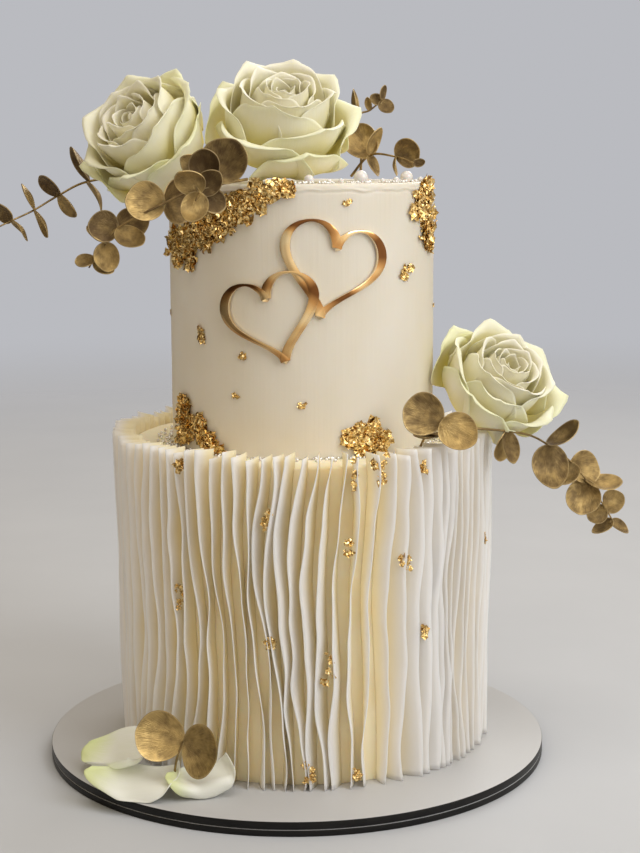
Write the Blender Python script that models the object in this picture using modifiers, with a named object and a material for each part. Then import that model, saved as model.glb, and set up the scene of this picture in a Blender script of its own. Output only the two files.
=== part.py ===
"""Two-tier wedding cake on its round board, at real size in metres, +Z up.

The origin is on the cake's axis at the board's underside, and the cake's front faces -Y.
"""
import math
import random

import bmesh
import bpy
from mathutils import Matrix, Vector

# Clearance between pieces that touch in the real cake.
GAP = 0.0003

# Board: two stacked discs, 12 inch. The cake stands slightly off their centre.
BOARD_RADIUS = 0.150
BOARD_CENTRE = (-0.0045, -0.0045)
BOARD_LOWER_THICKNESS = 0.0037
BOARD_UPPER_THICKNESS = 0.0045
BOARD_TOP = BOARD_LOWER_THICKNESS + GAP + BOARD_UPPER_THICKNESS
BOARD_SIDES = 40

# Lower tier: 8 inch, with paper strips that stand on edge all the way round it.
CORE_RADIUS = 0.1015
CORE_FOOT = BOARD_TOP + GAP
LEDGE = 0.190
STRIP_COUNT = 96
STRIP_LEVELS = 5
STRIP_THICKNESS = 0.0010
STRIP_REACH_FOOT = 0.1115
STRIP_REACH_TOP = 0.1137
STRIP_RISE = (0.0055, 0.0088)
STRIP_PITCH = 2.0 * math.pi / STRIP_COUNT
STRIP_WAVE = 0.36
STRIP_WAVE_AT_CORE = 0.8
STRIP_WAVE_LENGTH = (0.085, 0.150)
STRIP_LEAN = 0.6
STRIP_LEAN_LENGTH = 0.160

# Upper tier: 6 inch, smooth.
UPPER_RADIUS = 0.078
UPPER_FOOT = LEDGE + GAP
UPPER_TOP = 0.3425
UPPER_RIM = 0.0018
UPPER_SIDES = 40

# Gold leaf pressed on the icing stands out by half of its modelled thickness.
GOLD_LEAF_THICKNESS = 0.0020
# Spines of the gold patches: degrees from the front, height, half width.
GOLD_RIM_LEFT = [(-76, 0.300, 0.005), (-63, 0.304, 0.014), (-50, 0.310, 0.016), (-37, 0.320, 0.014),
                 (-24, 0.333, 0.009), (-8, 0.3395, 0.002)]
GOLD_RIM_RIGHT = [(60, 0.3405, 0.009), (64, 0.328, 0.013), (67, 0.316, 0.010), (70, 0.305, 0.003)]
GOLD_FOOT_LEFT = [(-50, 0.218, 0.004), (-51, 0.208, 0.010), (-49, 0.196, 0.016)]
GOLD_FOOT_RIGHT = [(31, 0.210, 0.003), (28, 0.203, 0.010), (26, 0.1955, 0.017)]
# Single flakes on the smooth wall: degrees, height, radius.
WALL_FLAKES = [(-46, 0.256, 0.0050), (-26, 0.247, 0.0030), (48, 0.292, 0.0055), (18, 0.332, 0.0030),
               (-29, 0.225, 0.0025), (-1, 0.220, 0.0025)]
# Single flakes on the edges of the strips: degrees, height, half width, half height.
STRIP_FLAKES = [(-39, 0.114, 0.0035, 0.007), (-11, 0.162, 0.0035, 0.005), (30, 0.135, 0.0035, 0.004),
                (7, 0.079, 0.0045, 0.009), (37, 0.094, 0.0035, 0.006), (1, 0.021, 0.0035, 0.007)]
# Sugar pearls on the top: centre x, y and radius. They sink a little into the icing.
PEARLS = [(0.0039, -0.070, 0.0028), (0.0328, -0.060, 0.0040), (0.0595, -0.040, 0.0036),
          (0.0150, -0.0715, 0.0014), (0.0215, -0.0700, 0.0016), (0.0450, -0.0570, 0.0014),
          (0.0530, -0.0500, 0.0018), (0.0680, -0.0300, 0.0016)]
PEARL_SINK = 0.25

# Ornament of two linked hearts, cut from sheet and bent to the wall.
ORNAMENT_THICKNESS = 0.0020
ORNAMENT_GAP = 0.0005
ORNAMENT_MIDDLE = 0.284
# Each heart: middle across and up from the ornament's middle, width, tilt in degrees.
HEARTS = [((0.0165, 0.0150), 0.056, -14), ((-0.0175, -0.0120), 0.052, 17)]
HEART_SEGMENTS = 24
STROKE_THIN = 0.0007
STROKE_THICK = 0.0028

# Roses: silhouette centre, direction of the flower's axis, radius, turn of the petals.
ROSE_LEFT = (Vector((-0.0885, -0.0170, 0.3695)), Vector((-0.55, -0.60, 0.58)), 0.0415, 20)
ROSE_MIDDLE = (Vector((-0.0115, -0.0270, 0.3795)), Vector((0.10, -0.50, 0.85)), 0.0440, 75)
ROSE_RIGHT = (Vector((0.1170, -0.0200, 0.2255)), Vector((0.45, -0.55, 0.70)), 0.0425, 140)
PETAL_THICKNESS = 0.0013
PETAL_ACROSS = 3
PETAL_UP = 2

LEAF_THICKNESS = 0.0008
LEAF_SIDES = 6
SMALL_LEAF_SIDES = 5
SMALL_LEAF = 0.0165
LEAF_HOLLOW = 0.14
STEM_RADIUS = 0.0010
# The stem that runs under the right rose, and the radius it keeps free there.
RIGHT_SPRIG = [(0.080, -0.050, 0.1925), (0.088, -0.055, 0.2025), (0.100, -0.058, 0.2035),
               (0.118, -0.046, 0.2000), (0.1332, -0.032, 0.1950), (0.1446, -0.024, 0.1881),
               (0.1595, -0.020, 0.1767), (0.1684, -0.020, 0.1660), (0.1802, -0.020, 0.1491),
               (0.1845, -0.020, 0.1416)]
SPRIG_CLEARANCE = 0.0040


def clear_scene():
    """Remove what a new Blender file holds."""
    for item in list(bpy.data.objects):
        bpy.data.objects.remove(item, do_unlink=True)


def new_collection(name):
    """A collection in the scene."""
    collection = bpy.data.collections.new(name)
    bpy.context.scene.collection.children.link(collection)
    return collection


def new_material(name, colour, roughness, metallic=0.0):
    """A plain Principled material."""
    material = bpy.data.materials.new(name)
    material.use_nodes = True
    shader = material.node_tree.nodes["Principled BSDF"]
    shader.inputs["Base Color"].default_value = (*colour, 1.0)
    shader.inputs["Roughness"].default_value = roughness
    shader.inputs["Metallic"].default_value = metallic
    return material


clear_scene()
CAKE = new_collection("tiered_wedding_cake")
CUTTERS = new_collection("cutters")


def new_object(name, mesh, material=None, collection=CAKE):
    """An object for a mesh, in the cake's collection unless another is given."""
    item = bpy.data.objects.new(name, mesh)
    collection.objects.link(item)
    if material:
        mesh.materials.clear()
        mesh.materials.append(material)
    return item


def object_from(bm, name, material=None):
    """Make an object of a bmesh with its faces pointing out."""
    bmesh.ops.recalc_face_normals(bm, faces=bm.faces[:])
    mesh = bpy.data.meshes.new(name)
    bm.to_mesh(mesh)
    bm.free()
    return new_object(name, mesh, material)


def evaluated(item):
    """The mesh of an object with its modifiers, at its place."""
    graph = bpy.context.evaluated_depsgraph_get()
    mesh = bpy.data.meshes.new_from_object(item.evaluated_get(graph))
    mesh.transform(item.matrix_world)
    return mesh


def solidified(item, thickness):
    """Give an open sheet its thickness, half to each side."""
    solidify = item.modifiers.new("thickness", "SOLIDIFY")
    solidify.thickness = thickness
    solidify.offset = 0.0
    return item


def largest_body(mesh):
    """Drop the loose scraps that a Boolean leaves beside the main body."""
    bm = bmesh.new()
    bm.from_mesh(mesh)
    bodies = []
    unseen = set(bm.verts)
    while unseen:
        front = [unseen.pop()]
        body = list(front)
        while front:
            near = {edge.other_vert(vert) for vert in front for edge in vert.link_edges} & unseen
            unseen -= near
            front = list(near)
            body += front
        bodies.append(body)
    bodies.sort(key=len)
    for body in bodies[:-1]:
        bmesh.ops.delete(bm, geom=body, context="VERTS")
    bmesh.ops.remove_doubles(bm, verts=bm.verts[:], dist=0.000001)
    bmesh.ops.triangulate(bm, faces=bm.faces[:])
    bm.to_mesh(mesh)
    bm.free()


def fuse(name, pieces, material):
    """Join overlapping pieces into one body by a Boolean union."""
    others = new_collection("fused pieces")
    for piece in pieces[1:]:
        CAKE.objects.unlink(piece)
        others.objects.link(piece)
    union = pieces[0].modifiers.new("union", "BOOLEAN")
    union.operation = "UNION"
    union.operand_type = "COLLECTION"
    union.collection = others
    union.solver = "EXACT"
    mesh = evaluated(pieces[0])
    largest_body(mesh)
    for piece in pieces:
        bpy.data.objects.remove(piece, do_unlink=True)
    bpy.data.collections.remove(others)
    return new_object(name, mesh, material)


def carve(item, cutter):
    """Cut one body out of another and keep the largest part of what is left."""
    difference = item.modifiers.new("clearance", "BOOLEAN")
    difference.operation = "DIFFERENCE"
    difference.object = cutter
    mesh = evaluated(item)
    largest_body(mesh)
    item.modifiers.clear()
    item.data = mesh
    return item


def turned(name, profile, sides, material=None):
    """A solid turned about the Z axis, from a profile of radius and height, top to bottom."""
    mesh = bpy.data.meshes.new(name)
    edges = [(index, index + 1) for index in range(len(profile) - 1)]
    mesh.from_pydata([(radius, 0.0, height) for radius, height in profile], edges, [])
    item = new_object(name, mesh, material)
    screw = item.modifiers.new("turn", "SCREW")
    screw.steps = sides
    screw.render_steps = sides
    screw.use_merge_vertices = True
    screw.merge_threshold = 0.00001
    return item


def on_wall(angle, height, radius):
    """A point on a round wall, the angle in radians from the front (-Y), positive towards +X."""
    return Vector((radius * math.sin(angle), -radius * math.cos(angle), height))


def bezier(points, t):
    """A point of a cubic Bezier curve."""
    first, second, third, last = points
    s = 1.0 - t
    return (first * s ** 3 + 3.0 * second * s * s * t + 3.0 * third * s * t * t + last * t ** 3)


def along(points, t):
    """Point at fraction t of a smooth curve through the given points."""
    spans = len(points) - 1
    place = min(t * spans, spans - 1e-6)
    span = int(place)
    local = place - span
    before = points[max(span - 1, 0)]
    start = points[span]
    end = points[span + 1]
    after = points[min(span + 2, spans)]
    leave = (end - before) / 2.0
    arrive = (after - start) / 2.0
    return bezier((start, start + leave / 3.0, end - arrive / 3.0, end), local)


def board_disc(name, foot, thickness, material):
    """One round board."""
    centre = (BOARD_CENTRE[0], BOARD_CENTRE[1], foot + thickness / 2.0)
    bpy.ops.mesh.primitive_cylinder_add(vertices=BOARD_SIDES, radius=BOARD_RADIUS, depth=thickness,
                                        location=centre)
    item = bpy.context.object
    item.name = name
    bpy.context.collection.objects.unlink(item)
    CAKE.objects.link(item)
    item.data.materials.append(material)
    item.data.shade_smooth()
    item.data.set_sharp_from_angle(angle=math.radians(30))
    return item


def make_boards():
    """A white covered disc on a dark backing disc."""
    dark = new_material("board_black", (0.02, 0.02, 0.022), 0.55)
    white = new_material("board_white", (0.80, 0.79, 0.76), 0.35)
    board_disc("board_lower", 0.0, BOARD_LOWER_THICKNESS, dark)
    board_disc("board_upper", BOARD_LOWER_THICKNESS + GAP, BOARD_UPPER_THICKNESS, white)


class Strips:
    """Where each paper strip stands at each height. Neighbours swing against each other."""

    def __init__(self):
        dice = random.Random(11)
        self.phase = [index * math.pi + dice.uniform(-0.8, 0.8) for index in range(STRIP_COUNT)]
        self.wave = [2.0 * math.pi / dice.uniform(*STRIP_WAVE_LENGTH) for _ in range(STRIP_COUNT)]
        self.rise = [dice.uniform(*STRIP_RISE) for _ in range(STRIP_COUNT)]
        self.slant = [dice.uniform(-0.0012, 0.0012) for _ in range(STRIP_COUNT)]

    def angle(self, index, height, at_core):
        """Angle of a strip's middle line where it leaves the core or at its free edge."""
        swing = STRIP_WAVE * math.sin(self.phase[index] + self.wave[index] * height)
        if at_core:
            swing *= STRIP_WAVE_AT_CORE
        even = index * STRIP_PITCH
        lean = STRIP_LEAN * math.sin(2.0 * even + 2.0 * math.pi * height / STRIP_LEAN_LENGTH)
        return even + (swing + lean) * STRIP_PITCH

    def corner(self, index, corner, height):
        """Corners 0 to 3 of a strip's section: core, free edge, free edge, core."""
        part = (height - CORE_FOOT) / (LEDGE - CORE_FOOT)
        free = STRIP_REACH_FOOT + (STRIP_REACH_TOP - STRIP_REACH_FOOT) * part
        at_core = corner in (0, 3)
        radius = CORE_RADIUS if at_core else free
        side = -0.5 if corner < 2 else 0.5
        angle = self.angle(index, height, at_core) + side * STRIP_THICKNESS / radius
        return on_wall(angle, height, radius)


def lower_body(strips):
    """The round core and its strips as one skin that is folded out at every strip."""
    columns = 4 * STRIP_COUNT
    bm = bmesh.new()
    bmesh.ops.create_grid(bm, x_segments=columns, y_segments=STRIP_LEVELS, size=1.0)
    rings = [[None] * (columns + 1) for _ in range(STRIP_LEVELS + 1)]
    for vert in bm.verts:
        column = round((vert.co.x + 1.0) / 2.0 * columns)
        level = round((vert.co.y + 1.0) / 2.0 * STRIP_LEVELS)
        rings[level][column] = vert
    for level, ring in enumerate(rings):
        height = CORE_FOOT + (LEDGE - CORE_FOOT) * level / STRIP_LEVELS
        for column, vert in enumerate(ring):
            index, corner = divmod(column % columns, 4)
            vert.co = strips.corner(index, corner, height)
    bmesh.ops.weld_verts(bm, targetmap={ring[columns]: ring[0] for ring in rings})
    tops = []
    for ring in (rings[0], rings[-1]):
        for index in range(STRIP_COUNT):
            corners = ring[4 * index:4 * index + 4]
            face = bmesh.ops.contextual_create(bm, geom=corners)["faces"][0]
            if ring is rings[-1]:
                tops.append(face)
        inner = {vert for column, vert in enumerate(ring[:columns]) if column % 4 in (0, 3)}
        rim = [edge for edge in bm.edges if edge.is_boundary and set(edge.verts) <= inner]
        bmesh.ops.contextual_create(bm, geom=rim)
    raised = bmesh.ops.extrude_discrete_faces(bm, faces=tops)["faces"]
    for index, face in enumerate(raised):
        for vert in face.verts:
            free = math.hypot(vert.co.x, vert.co.y) > CORE_RADIUS + 0.001
            vert.co.z += strips.rise[index] + (strips.slant[index] if free else 0.0)
    return object_from(bm, "lower body")


def flake(angle, height, radius, half_width, half_height, seed):
    """A ragged chip of gold leaf that lies against a round wall."""
    dice = random.Random(seed)
    bm = bmesh.new()
    bmesh.ops.create_circle(bm, cap_ends=True, cap_tris=True, segments=6, radius=1.0)
    for vert in bm.verts:
        ragged = dice.uniform(0.75, 1.2)
        across = vert.co.x * half_width * ragged / radius
        vert.co = on_wall(angle + across, height + vert.co.y * half_height * ragged, radius)
    return solidified(object_from(bm, "flake"), GOLD_LEAF_THICKNESS)


def gold_patch(spine, seed):
    """A crumpled band of gold leaf on the upper tier, along a spine."""
    dice = random.Random(seed)
    bm = bmesh.new()
    spans = len(spine) - 1
    bmesh.ops.create_grid(bm, x_segments=spans, y_segments=2, size=1.0)
    for vert in bm.verts:
        step = round((vert.co.x + 1.0) / 2.0 * spans)
        degrees, height, half_width = spine[step]
        before = spine[max(step - 1, 0)]
        after = spine[min(step + 1, spans)]
        run = math.radians(after[0] - before[0]) * UPPER_RADIUS
        climb = after[1] - before[1]
        length = math.hypot(run, climb)
        across = vert.co.y * half_width * dice.uniform(0.75, 1.25)
        angle = math.radians(degrees) - across * climb / length / UPPER_RADIUS
        level = min(height + across * run / length, UPPER_TOP - 0.0015)
        level = max(level, UPPER_FOOT + 0.001)
        vert.co = on_wall(angle, level, UPPER_RADIUS + dice.uniform(-0.0001, 0.0004))
    return solidified(object_from(bm, "gold patch"), GOLD_LEAF_THICKNESS)


def make_lower_tier():
    """The strip-covered tier with the flakes of gold leaf that stick to it."""
    paper = new_material("wafer_paper", (0.86, 0.83, 0.72), 0.6)
    pieces = [lower_body(Strips())]
    reach = (STRIP_REACH_FOOT + STRIP_REACH_TOP) / 2.0
    for seed, (degrees, height, half_width, half_height) in enumerate(STRIP_FLAKES):
        pieces.append(flake(math.radians(degrees), height, reach, half_width, half_height, seed))
    return fuse("tier_lower", pieces, paper)


def make_upper_tier():
    """The smooth tier with its gold leaf and pearls."""
    icing = new_material("buttercream", (0.84, 0.77, 0.62), 0.5)
    profile = [(0.0, UPPER_TOP), (UPPER_RADIUS - UPPER_RIM, UPPER_TOP),
               (UPPER_RADIUS - UPPER_RIM * 0.3, UPPER_TOP - UPPER_RIM * 0.3),
               (UPPER_RADIUS, UPPER_TOP - UPPER_RIM), (UPPER_RADIUS, UPPER_FOOT), (0.0, UPPER_FOOT)]
    pieces = [turned("upper body", profile, UPPER_SIDES)]
    patches = (GOLD_RIM_LEFT, GOLD_RIM_RIGHT, GOLD_FOOT_LEFT, GOLD_FOOT_RIGHT)
    pieces += [gold_patch(spine, seed) for seed, spine in enumerate(patches)]
    for seed, (degrees, height, radius) in enumerate(WALL_FLAKES):
        pieces.append(flake(math.radians(degrees), height, UPPER_RADIUS, radius, radius, seed + 40))
    for x, y, radius in PEARLS:
        bm = bmesh.new()
        detail = 2 if radius > 0.002 else 1
        place = Matrix.Translation((x, y, UPPER_TOP + radius * (1.0 - PEARL_SINK)))
        bmesh.ops.create_icosphere(bm, subdivisions=detail, radius=radius, matrix=place)
        pieces.append(object_from(bm, "pearl"))
    return fuse("tier_upper", pieces, icing)


def heart(s, middle, width, tilt):
    """A point of a heart's centre line, in metres on the unrolled wall."""
    t = 2.0 * math.pi * s
    x = 16.0 * math.sin(t) ** 3
    y = 13.0 * math.cos(t) - 5.0 * math.cos(2.0 * t) - 2.0 * math.cos(3.0 * t) - math.cos(4.0 * t)
    outline = Vector((x, y)) * width / 32.0
    return Matrix.Rotation(math.radians(tilt), 2) @ outline + Vector(middle)


def heart_stroke(middle, width, tilt, lift):
    """A heart drawn as with a broad pen, thick where it runs up and down, bent to the wall."""
    bm = bmesh.new()
    bmesh.ops.create_grid(bm, x_segments=HEART_SEGMENTS, y_segments=1, size=1.0)
    radius = UPPER_RADIUS + ORNAMENT_GAP + ORNAMENT_THICKNESS / 2.0 + lift
    ends = {}
    for vert in bm.verts:
        column = round((vert.co.x + 1.0) / 2.0 * HEART_SEGMENTS)
        side = vert.co.y
        s = column / HEART_SEGMENTS
        ahead = heart(s + 0.002, middle, width, tilt) - heart(s - 0.002, middle, width, tilt)
        ahead.normalize()
        half_width = STROKE_THIN + (STROKE_THICK - STROKE_THIN) * abs(ahead.y) ** 1.6
        point = heart(s, middle, width, tilt) + Vector((-ahead.y, ahead.x)) * half_width * side
        vert.co = on_wall(point.x / UPPER_RADIUS, ORNAMENT_MIDDLE + point.y, radius)
        if column in (0, HEART_SEGMENTS):
            ends[(column, side > 0.0)] = vert
    seam = {ends[(HEART_SEGMENTS, up)]: ends[(0, up)] for up in (True, False)}
    bmesh.ops.weld_verts(bm, targetmap=seam)
    bmesh.ops.triangulate(bm, faces=bm.faces[:])
    return solidified(object_from(bm, "heart"), ORNAMENT_THICKNESS + 2.0 * lift)


def make_ornament():
    """Two linked hearts of mirror-like gold sheet."""
    gold = new_material("gold_sheet", (0.72, 0.50, 0.22), 0.12, 1.0)
    pieces = [heart_stroke(*values, 0.0001 * index) for index, values in enumerate(HEARTS)]
    return fuse("ornament_hearts", pieces, gold)


def petal(side_view, half_angle, turn, lip, seed):
    """One curved petal of a rose with its axis on +Z, its tip rolled out by lip.

    side_view is a Bezier curve of radius and height, from the petal's base to its tip.
    """
    dice = random.Random(seed)
    ripple = dice.uniform(0.0, 6.0)
    bm = bmesh.new()
    bmesh.ops.create_grid(bm, x_segments=PETAL_ACROSS, y_segments=PETAL_UP, size=1.0)
    for vert in bm.verts:
        u = vert.co.x
        v = (vert.co.y + 1.0) / 2.0
        v *= 1.0 - 0.24 * abs(u) ** 2.5
        radius, level = bezier(side_view, v)
        radius += lip * v ** 4
        level -= lip * 0.5 * v ** 8
        radius *= 1.0 + 0.06 * u + 0.02 * math.sin(ripple + 3.0 * u) * v
        spread = half_angle * (0.3 + 0.7 * math.sin(math.pi / 2.0 * min(1.0, v * 1.5)))
        angle = turn + u * spread
        vert.co = (radius * math.cos(angle), radius * math.sin(angle), level)
    return solidified(object_from(bm, "petal"), PETAL_THICKNESS)


def rose(name, placing, cutters, material):
    """A full-blown rose: rings of overlapping petals round a closed heart, on a short stem."""
    centre, axis, size, turn = placing
    unit = size / 40.0
    core = [(0.0, 40), (10, 35), (15, 20), (10, 3), (3, -5), (3, -13), (0.0, -13)]
    pieces = [turned("rose core", [(radius * unit, height * unit) for radius, height in core], 8)]
    # Each ring: petals, side view from base to tip, half angle, lip.
    rings = ((5, ((4, 0), (30, -10), (38, 4), (39, 20)), 47, 4.0),
             (4, ((6, 4), (26, -2), (28, 22), (29, 33)), 56, 3.0))
    for ring, (count, points, half_angle, lip) in enumerate(rings):
        side_view = [Vector(point) * unit for point in points]
        for index in range(count):
            place = math.radians(turn + 41 * ring) + 2.0 * math.pi * index / count
            pieces.append(petal(side_view, math.radians(half_angle), place, lip * unit, 10 * ring + index))
    item = fuse(name, pieces, material)
    upright = axis.to_track_quat("Z", "Y").to_matrix().to_4x4()
    item.data.transform(Matrix.Translation(centre) @ upright @ Matrix.Translation((0, 0, -16 * unit)))
    for cutter in cutters:
        carve(item, cutter)
    return item


def stem(points, radius=STEM_RADIUS):
    """A thin round stem through the given points, as a mesh with welded ends."""
    curve = bpy.data.curves.new("stem", "CURVE")
    curve.dimensions = "3D"
    curve.bevel_depth = radius
    curve.bevel_resolution = 0
    curve.use_fill_caps = True
    spline = curve.splines.new("POLY")
    samples = len(points)
    spline.points.add(samples - 1)
    for index in range(samples):
        spline.points[index].co = (*along(points, index / (samples - 1)), 1.0)
    guide = bpy.data.objects.new("stem", curve)
    CAKE.objects.link(guide)
    mesh = evaluated(guide)
    bpy.data.objects.remove(guide, do_unlink=True)
    bm = bmesh.new()
    bm.from_mesh(mesh)
    bmesh.ops.remove_doubles(bm, verts=bm.verts[:], dist=0.00001)
    bm.to_mesh(mesh)
    bm.free()
    return new_object("stem", mesh)


def cutter_from(item):
    """Move a piece to the cutters, where it only guides Booleans."""
    item.hide_render = True
    item.display_type = "WIRE"
    CAKE.objects.unlink(item)
    CUTTERS.objects.link(item)
    return item


def cake_clearance():
    """The space that the two tiers take, for what lies on them."""
    over = 2.0 * GAP
    strip_top = LEDGE + STRIP_RISE[1] + 0.0015
    profile = [(0.0, UPPER_TOP + over), (UPPER_RADIUS + over, UPPER_TOP + over),
               (UPPER_RADIUS + over, LEDGE + over), (CORE_RADIUS - 0.001, LEDGE + over),
               (CORE_RADIUS - 0.001, strip_top), (STRIP_REACH_TOP + 0.001, strip_top),
               (STRIP_REACH_TOP + 0.001, 0.150), (0.0, 0.150)]
    return cutter_from(turned("cake clearance", profile, 48))


def ball_clearance(centre, radius):
    """A ball round a rose, to keep its neighbour off it."""
    bm = bmesh.new()
    bmesh.ops.create_icosphere(bm, subdivisions=2, radius=radius, matrix=Matrix.Translation(centre))
    return cutter_from(object_from(bm, "rose clearance"))


def make_roses():
    """Two roses on top and one on the ledge at the right."""
    cream = new_material("rose_petal", (0.84, 0.82, 0.58), 0.5)
    tiers = cake_clearance()
    middle = ball_clearance(ROSE_MIDDLE[0], ROSE_MIDDLE[2] + 0.0065)
    under_right = cutter_from(stem([Vector(point) for point in RIGHT_SPRIG[1:7]], SPRIG_CLEARANCE))
    hanging_leaves = ball_clearance(Vector(RIGHT_SPRIG[3]) - Vector((0.0, 0.0, 0.010)), 0.0115)
    rose("rose_top_left", ROSE_LEFT, [tiers, middle], cream)
    rose("rose_top_middle", ROSE_MIDDLE, [tiers], cream)
    rose("rose_right", ROSE_RIGHT, [tiers, under_right, hanging_leaves], cream)


def leaf(base, length, width, way, facing):
    """A round leaf that grows from its base the given way, slightly hollow where it faces."""
    midrib = Vector(way).normalized()
    across = Vector(facing).cross(midrib).normalized()
    face = midrib.cross(across)
    bm = bmesh.new()
    sides = SMALL_LEAF_SIDES if length < SMALL_LEAF else LEAF_SIDES
    bmesh.ops.create_circle(bm, cap_ends=True, cap_tris=True, segments=sides, radius=1.0)
    for vert in bm.verts:
        x, y, _ = vert.co
        hollow = LEAF_HOLLOW * length * (x * x + y * y - 1.0)
        along_midrib = (1.0 + x) * length / 2.0 - STEM_RADIUS / 2.0
        vert.co = base + midrib * along_midrib + across * (y * width / 2.0) + face * hollow
    return solidified(object_from(bm, "leaf"), LEAF_THICKNESS)


def sprig(name, points, leaves, material):
    """A stem with leaves.

    Each leaf: the stem point it grows from, length, width, the way it points, the way it faces.
    """
    points = [Vector(point) for point in points]
    pieces = [stem(points)]
    for index, length, width, way, facing in leaves:
        pieces.append(leaf(points[index], length, width, way, facing))
    return fuse(name, pieces, material)


def far_left_sprig(gold):
    """Reaches out behind the left rose, its leaves nearly edge on to the front."""
    points = [(-0.060, 0.036, 0.3445), (-0.098, 0.028, 0.3458), (-0.128, 0.020, 0.3425),
              (-0.1445, 0.010, 0.3345), (-0.158, 0.000, 0.3262), (-0.170, -0.007, 0.3205),
              (-0.180, -0.015, 0.3155)]
    leaves = [(2, 0.0240, 0.017, (-0.50, 0.25, 0.85), (-0.80, -0.30, -0.45)),
              (2, 0.0200, 0.015, (0.40, -0.10, -0.85), (-0.80, -0.20, -0.40)),
              (3, 0.0160, 0.017, (-0.70, -0.10, 0.70), (-0.60, -0.55, -0.60)),
              (3, 0.0165, 0.017, (0.55, 0.10, -0.80), (-0.70, -0.50, -0.60)),
              (4, 0.0180, 0.014, (-0.45, 0.30, 0.85), (-0.85, -0.15, -0.40)),
              (4, 0.0180, 0.015, (0.45, -0.20, -0.85), (-0.85, -0.35, -0.45)),
              (5, 0.0170, 0.015, (-0.75, 0.10, 0.55), (-0.50, -0.60, -0.55)),
              (5, 0.0150, 0.011, (0.60, -0.10, -0.75), (-0.75, -0.20, -0.50)),
              (6, 0.0100, 0.007, (-0.80, 0.20, 0.20), (0.10, -0.50, 0.80)),
              (6, 0.0100, 0.007, (-0.40, -0.30, -0.90), (-0.80, -0.50, 0.20))]
    sprig("sprig_far_left", points, leaves, gold)


def low_left_sprig(gold):
    """Droops over the rim at the left, most of its leaves face the front."""
    points = [(-0.030, -0.066, 0.3450), (-0.055, -0.0885, 0.3405), (-0.0738, -0.092, 0.3330),
              (-0.099, -0.092, 0.3200), (-0.1055, -0.091, 0.3120), (-0.1122, -0.090, 0.3035),
              (-0.1153, -0.090, 0.2985)]
    leaves = [(2, 0.0210, 0.021, (-0.98, -0.20, 0.10), (-0.15, -1.00, 0.10)),
              (2, 0.0220, 0.024, (0.50, 0.75, 0.00), (0.75, -0.60, 0.10)),
              (3, 0.0160, 0.017, (-0.95, -0.25, 0.10), (-0.20, -1.00, 0.10)),
              (3, 0.0175, 0.017, (0.93, 0.30, 0.30), (0.10, -1.00, 0.10)),
              (3, 0.0185, 0.014, (0.72, -0.50, -0.45), (0.30, -0.90, 0.50)),
              (4, 0.0140, 0.012, (-0.75, 0.20, 0.68), (0.60, -0.25, 0.70)),
              (4, 0.0160, 0.014, (0.05, -0.30, -0.95), (0.30, -0.90, 0.30)),
              (5, 0.0110, 0.009, (-0.95, -0.10, -0.15), (0.00, -0.70, 0.70)),
              (5, 0.0125, 0.010, (0.75, -0.10, -0.50), (0.30, -0.80, 0.30))]
    sprig("sprig_low_left", points, leaves, gold)


def rim_sprig(gold):
    """Points at the front from between the two top roses, over the rim."""
    points = [(-0.040, -0.062, 0.3455), (-0.0475, -0.084, 0.3450), (-0.0515, -0.093, 0.3440),
              (-0.0545, -0.099, 0.3385), (-0.0565, -0.1045, 0.3345)]
    leaves = [(1, 0.0245, 0.025, (0.50, -0.15, 0.86), (0.15, -1.00, 0.20)),
              (1, 0.0210, 0.013, (-0.83, -0.10, 0.55), (-0.10, -1.00, 0.10)),
              (2, 0.0185, 0.0165, (-0.05, -0.30, 0.95), (0.00, -1.00, -0.30)),
              (3, 0.0155, 0.013, (0.70, -0.20, 0.70), (0.20, -1.00, 0.10)),
              (3, 0.0175, 0.016, (-0.60, -0.50, 0.62), (-0.30, -1.00, -0.30)),
              (3, 0.0175, 0.0145, (-0.35, -0.45, -0.88), (-0.10, -1.00, 0.20)),
              (3, 0.0160, 0.013, (0.80, 0.10, -0.45), (0.30, -1.00, 0.10))]
    sprig("sprig_rim", points, leaves, gold)


def top_right_sprigs(gold):
    """One sprig lies out to the right behind the middle rose, a thin one stands up."""
    lying = [(0.030, 0.018, 0.3450), (0.041, 0.008, 0.3575), (0.0555, -0.004, 0.3565),
             (0.0655, -0.010, 0.3530)]
    leaves = [(1, 0.0250, 0.020, (-0.45, 0.55, 0.70), (-0.20, -0.90, 0.35)),
              (1, 0.0170, 0.012, (0.35, -0.10, 0.90), (0.75, -0.60, -0.25)),
              (1, 0.0135, 0.010, (0.35, -0.20, -0.85), (0.70, -0.50, 0.35)),
              (2, 0.0150, 0.0175, (0.85, -0.35, 0.30), (0.35, -0.90, 0.10)),
              (2, 0.0110, 0.010, (0.05, -0.10, -1.00), (0.95, -0.10, 0.00)),
              (3, 0.0070, 0.005, (0.90, -0.20, 0.10), (0.10, -0.90, 0.30))]
    sprig("sprig_top_right", lying, leaves, gold)
    standing = [(0.036, 0.030, 0.3450), (0.0365, 0.028, 0.3620), (0.0345, 0.024, 0.3800),
                (0.0415, 0.024, 0.3840), (0.0490, 0.024, 0.3900)]
    leaves = [(2, 0.0170, 0.010, (-0.12, 0.00, 1.00), (1.00, -0.20, 0.00)),
              (3, 0.0080, 0.004, (-0.20, 0.10, 0.95), (0.30, -0.90, 0.10)),
              (4, 0.0095, 0.0095, (0.45, -0.30, -0.65), (0.30, -0.90, 0.20)),
              (4, 0.0090, 0.006, (0.20, 0.10, 0.95), (0.80, -0.60, 0.00)),
              (4, 0.0080, 0.007, (-0.90, -0.10, 0.20), (0.10, -0.90, 0.30))]
    sprig("sprig_top_thin", standing, leaves, gold)


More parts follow.
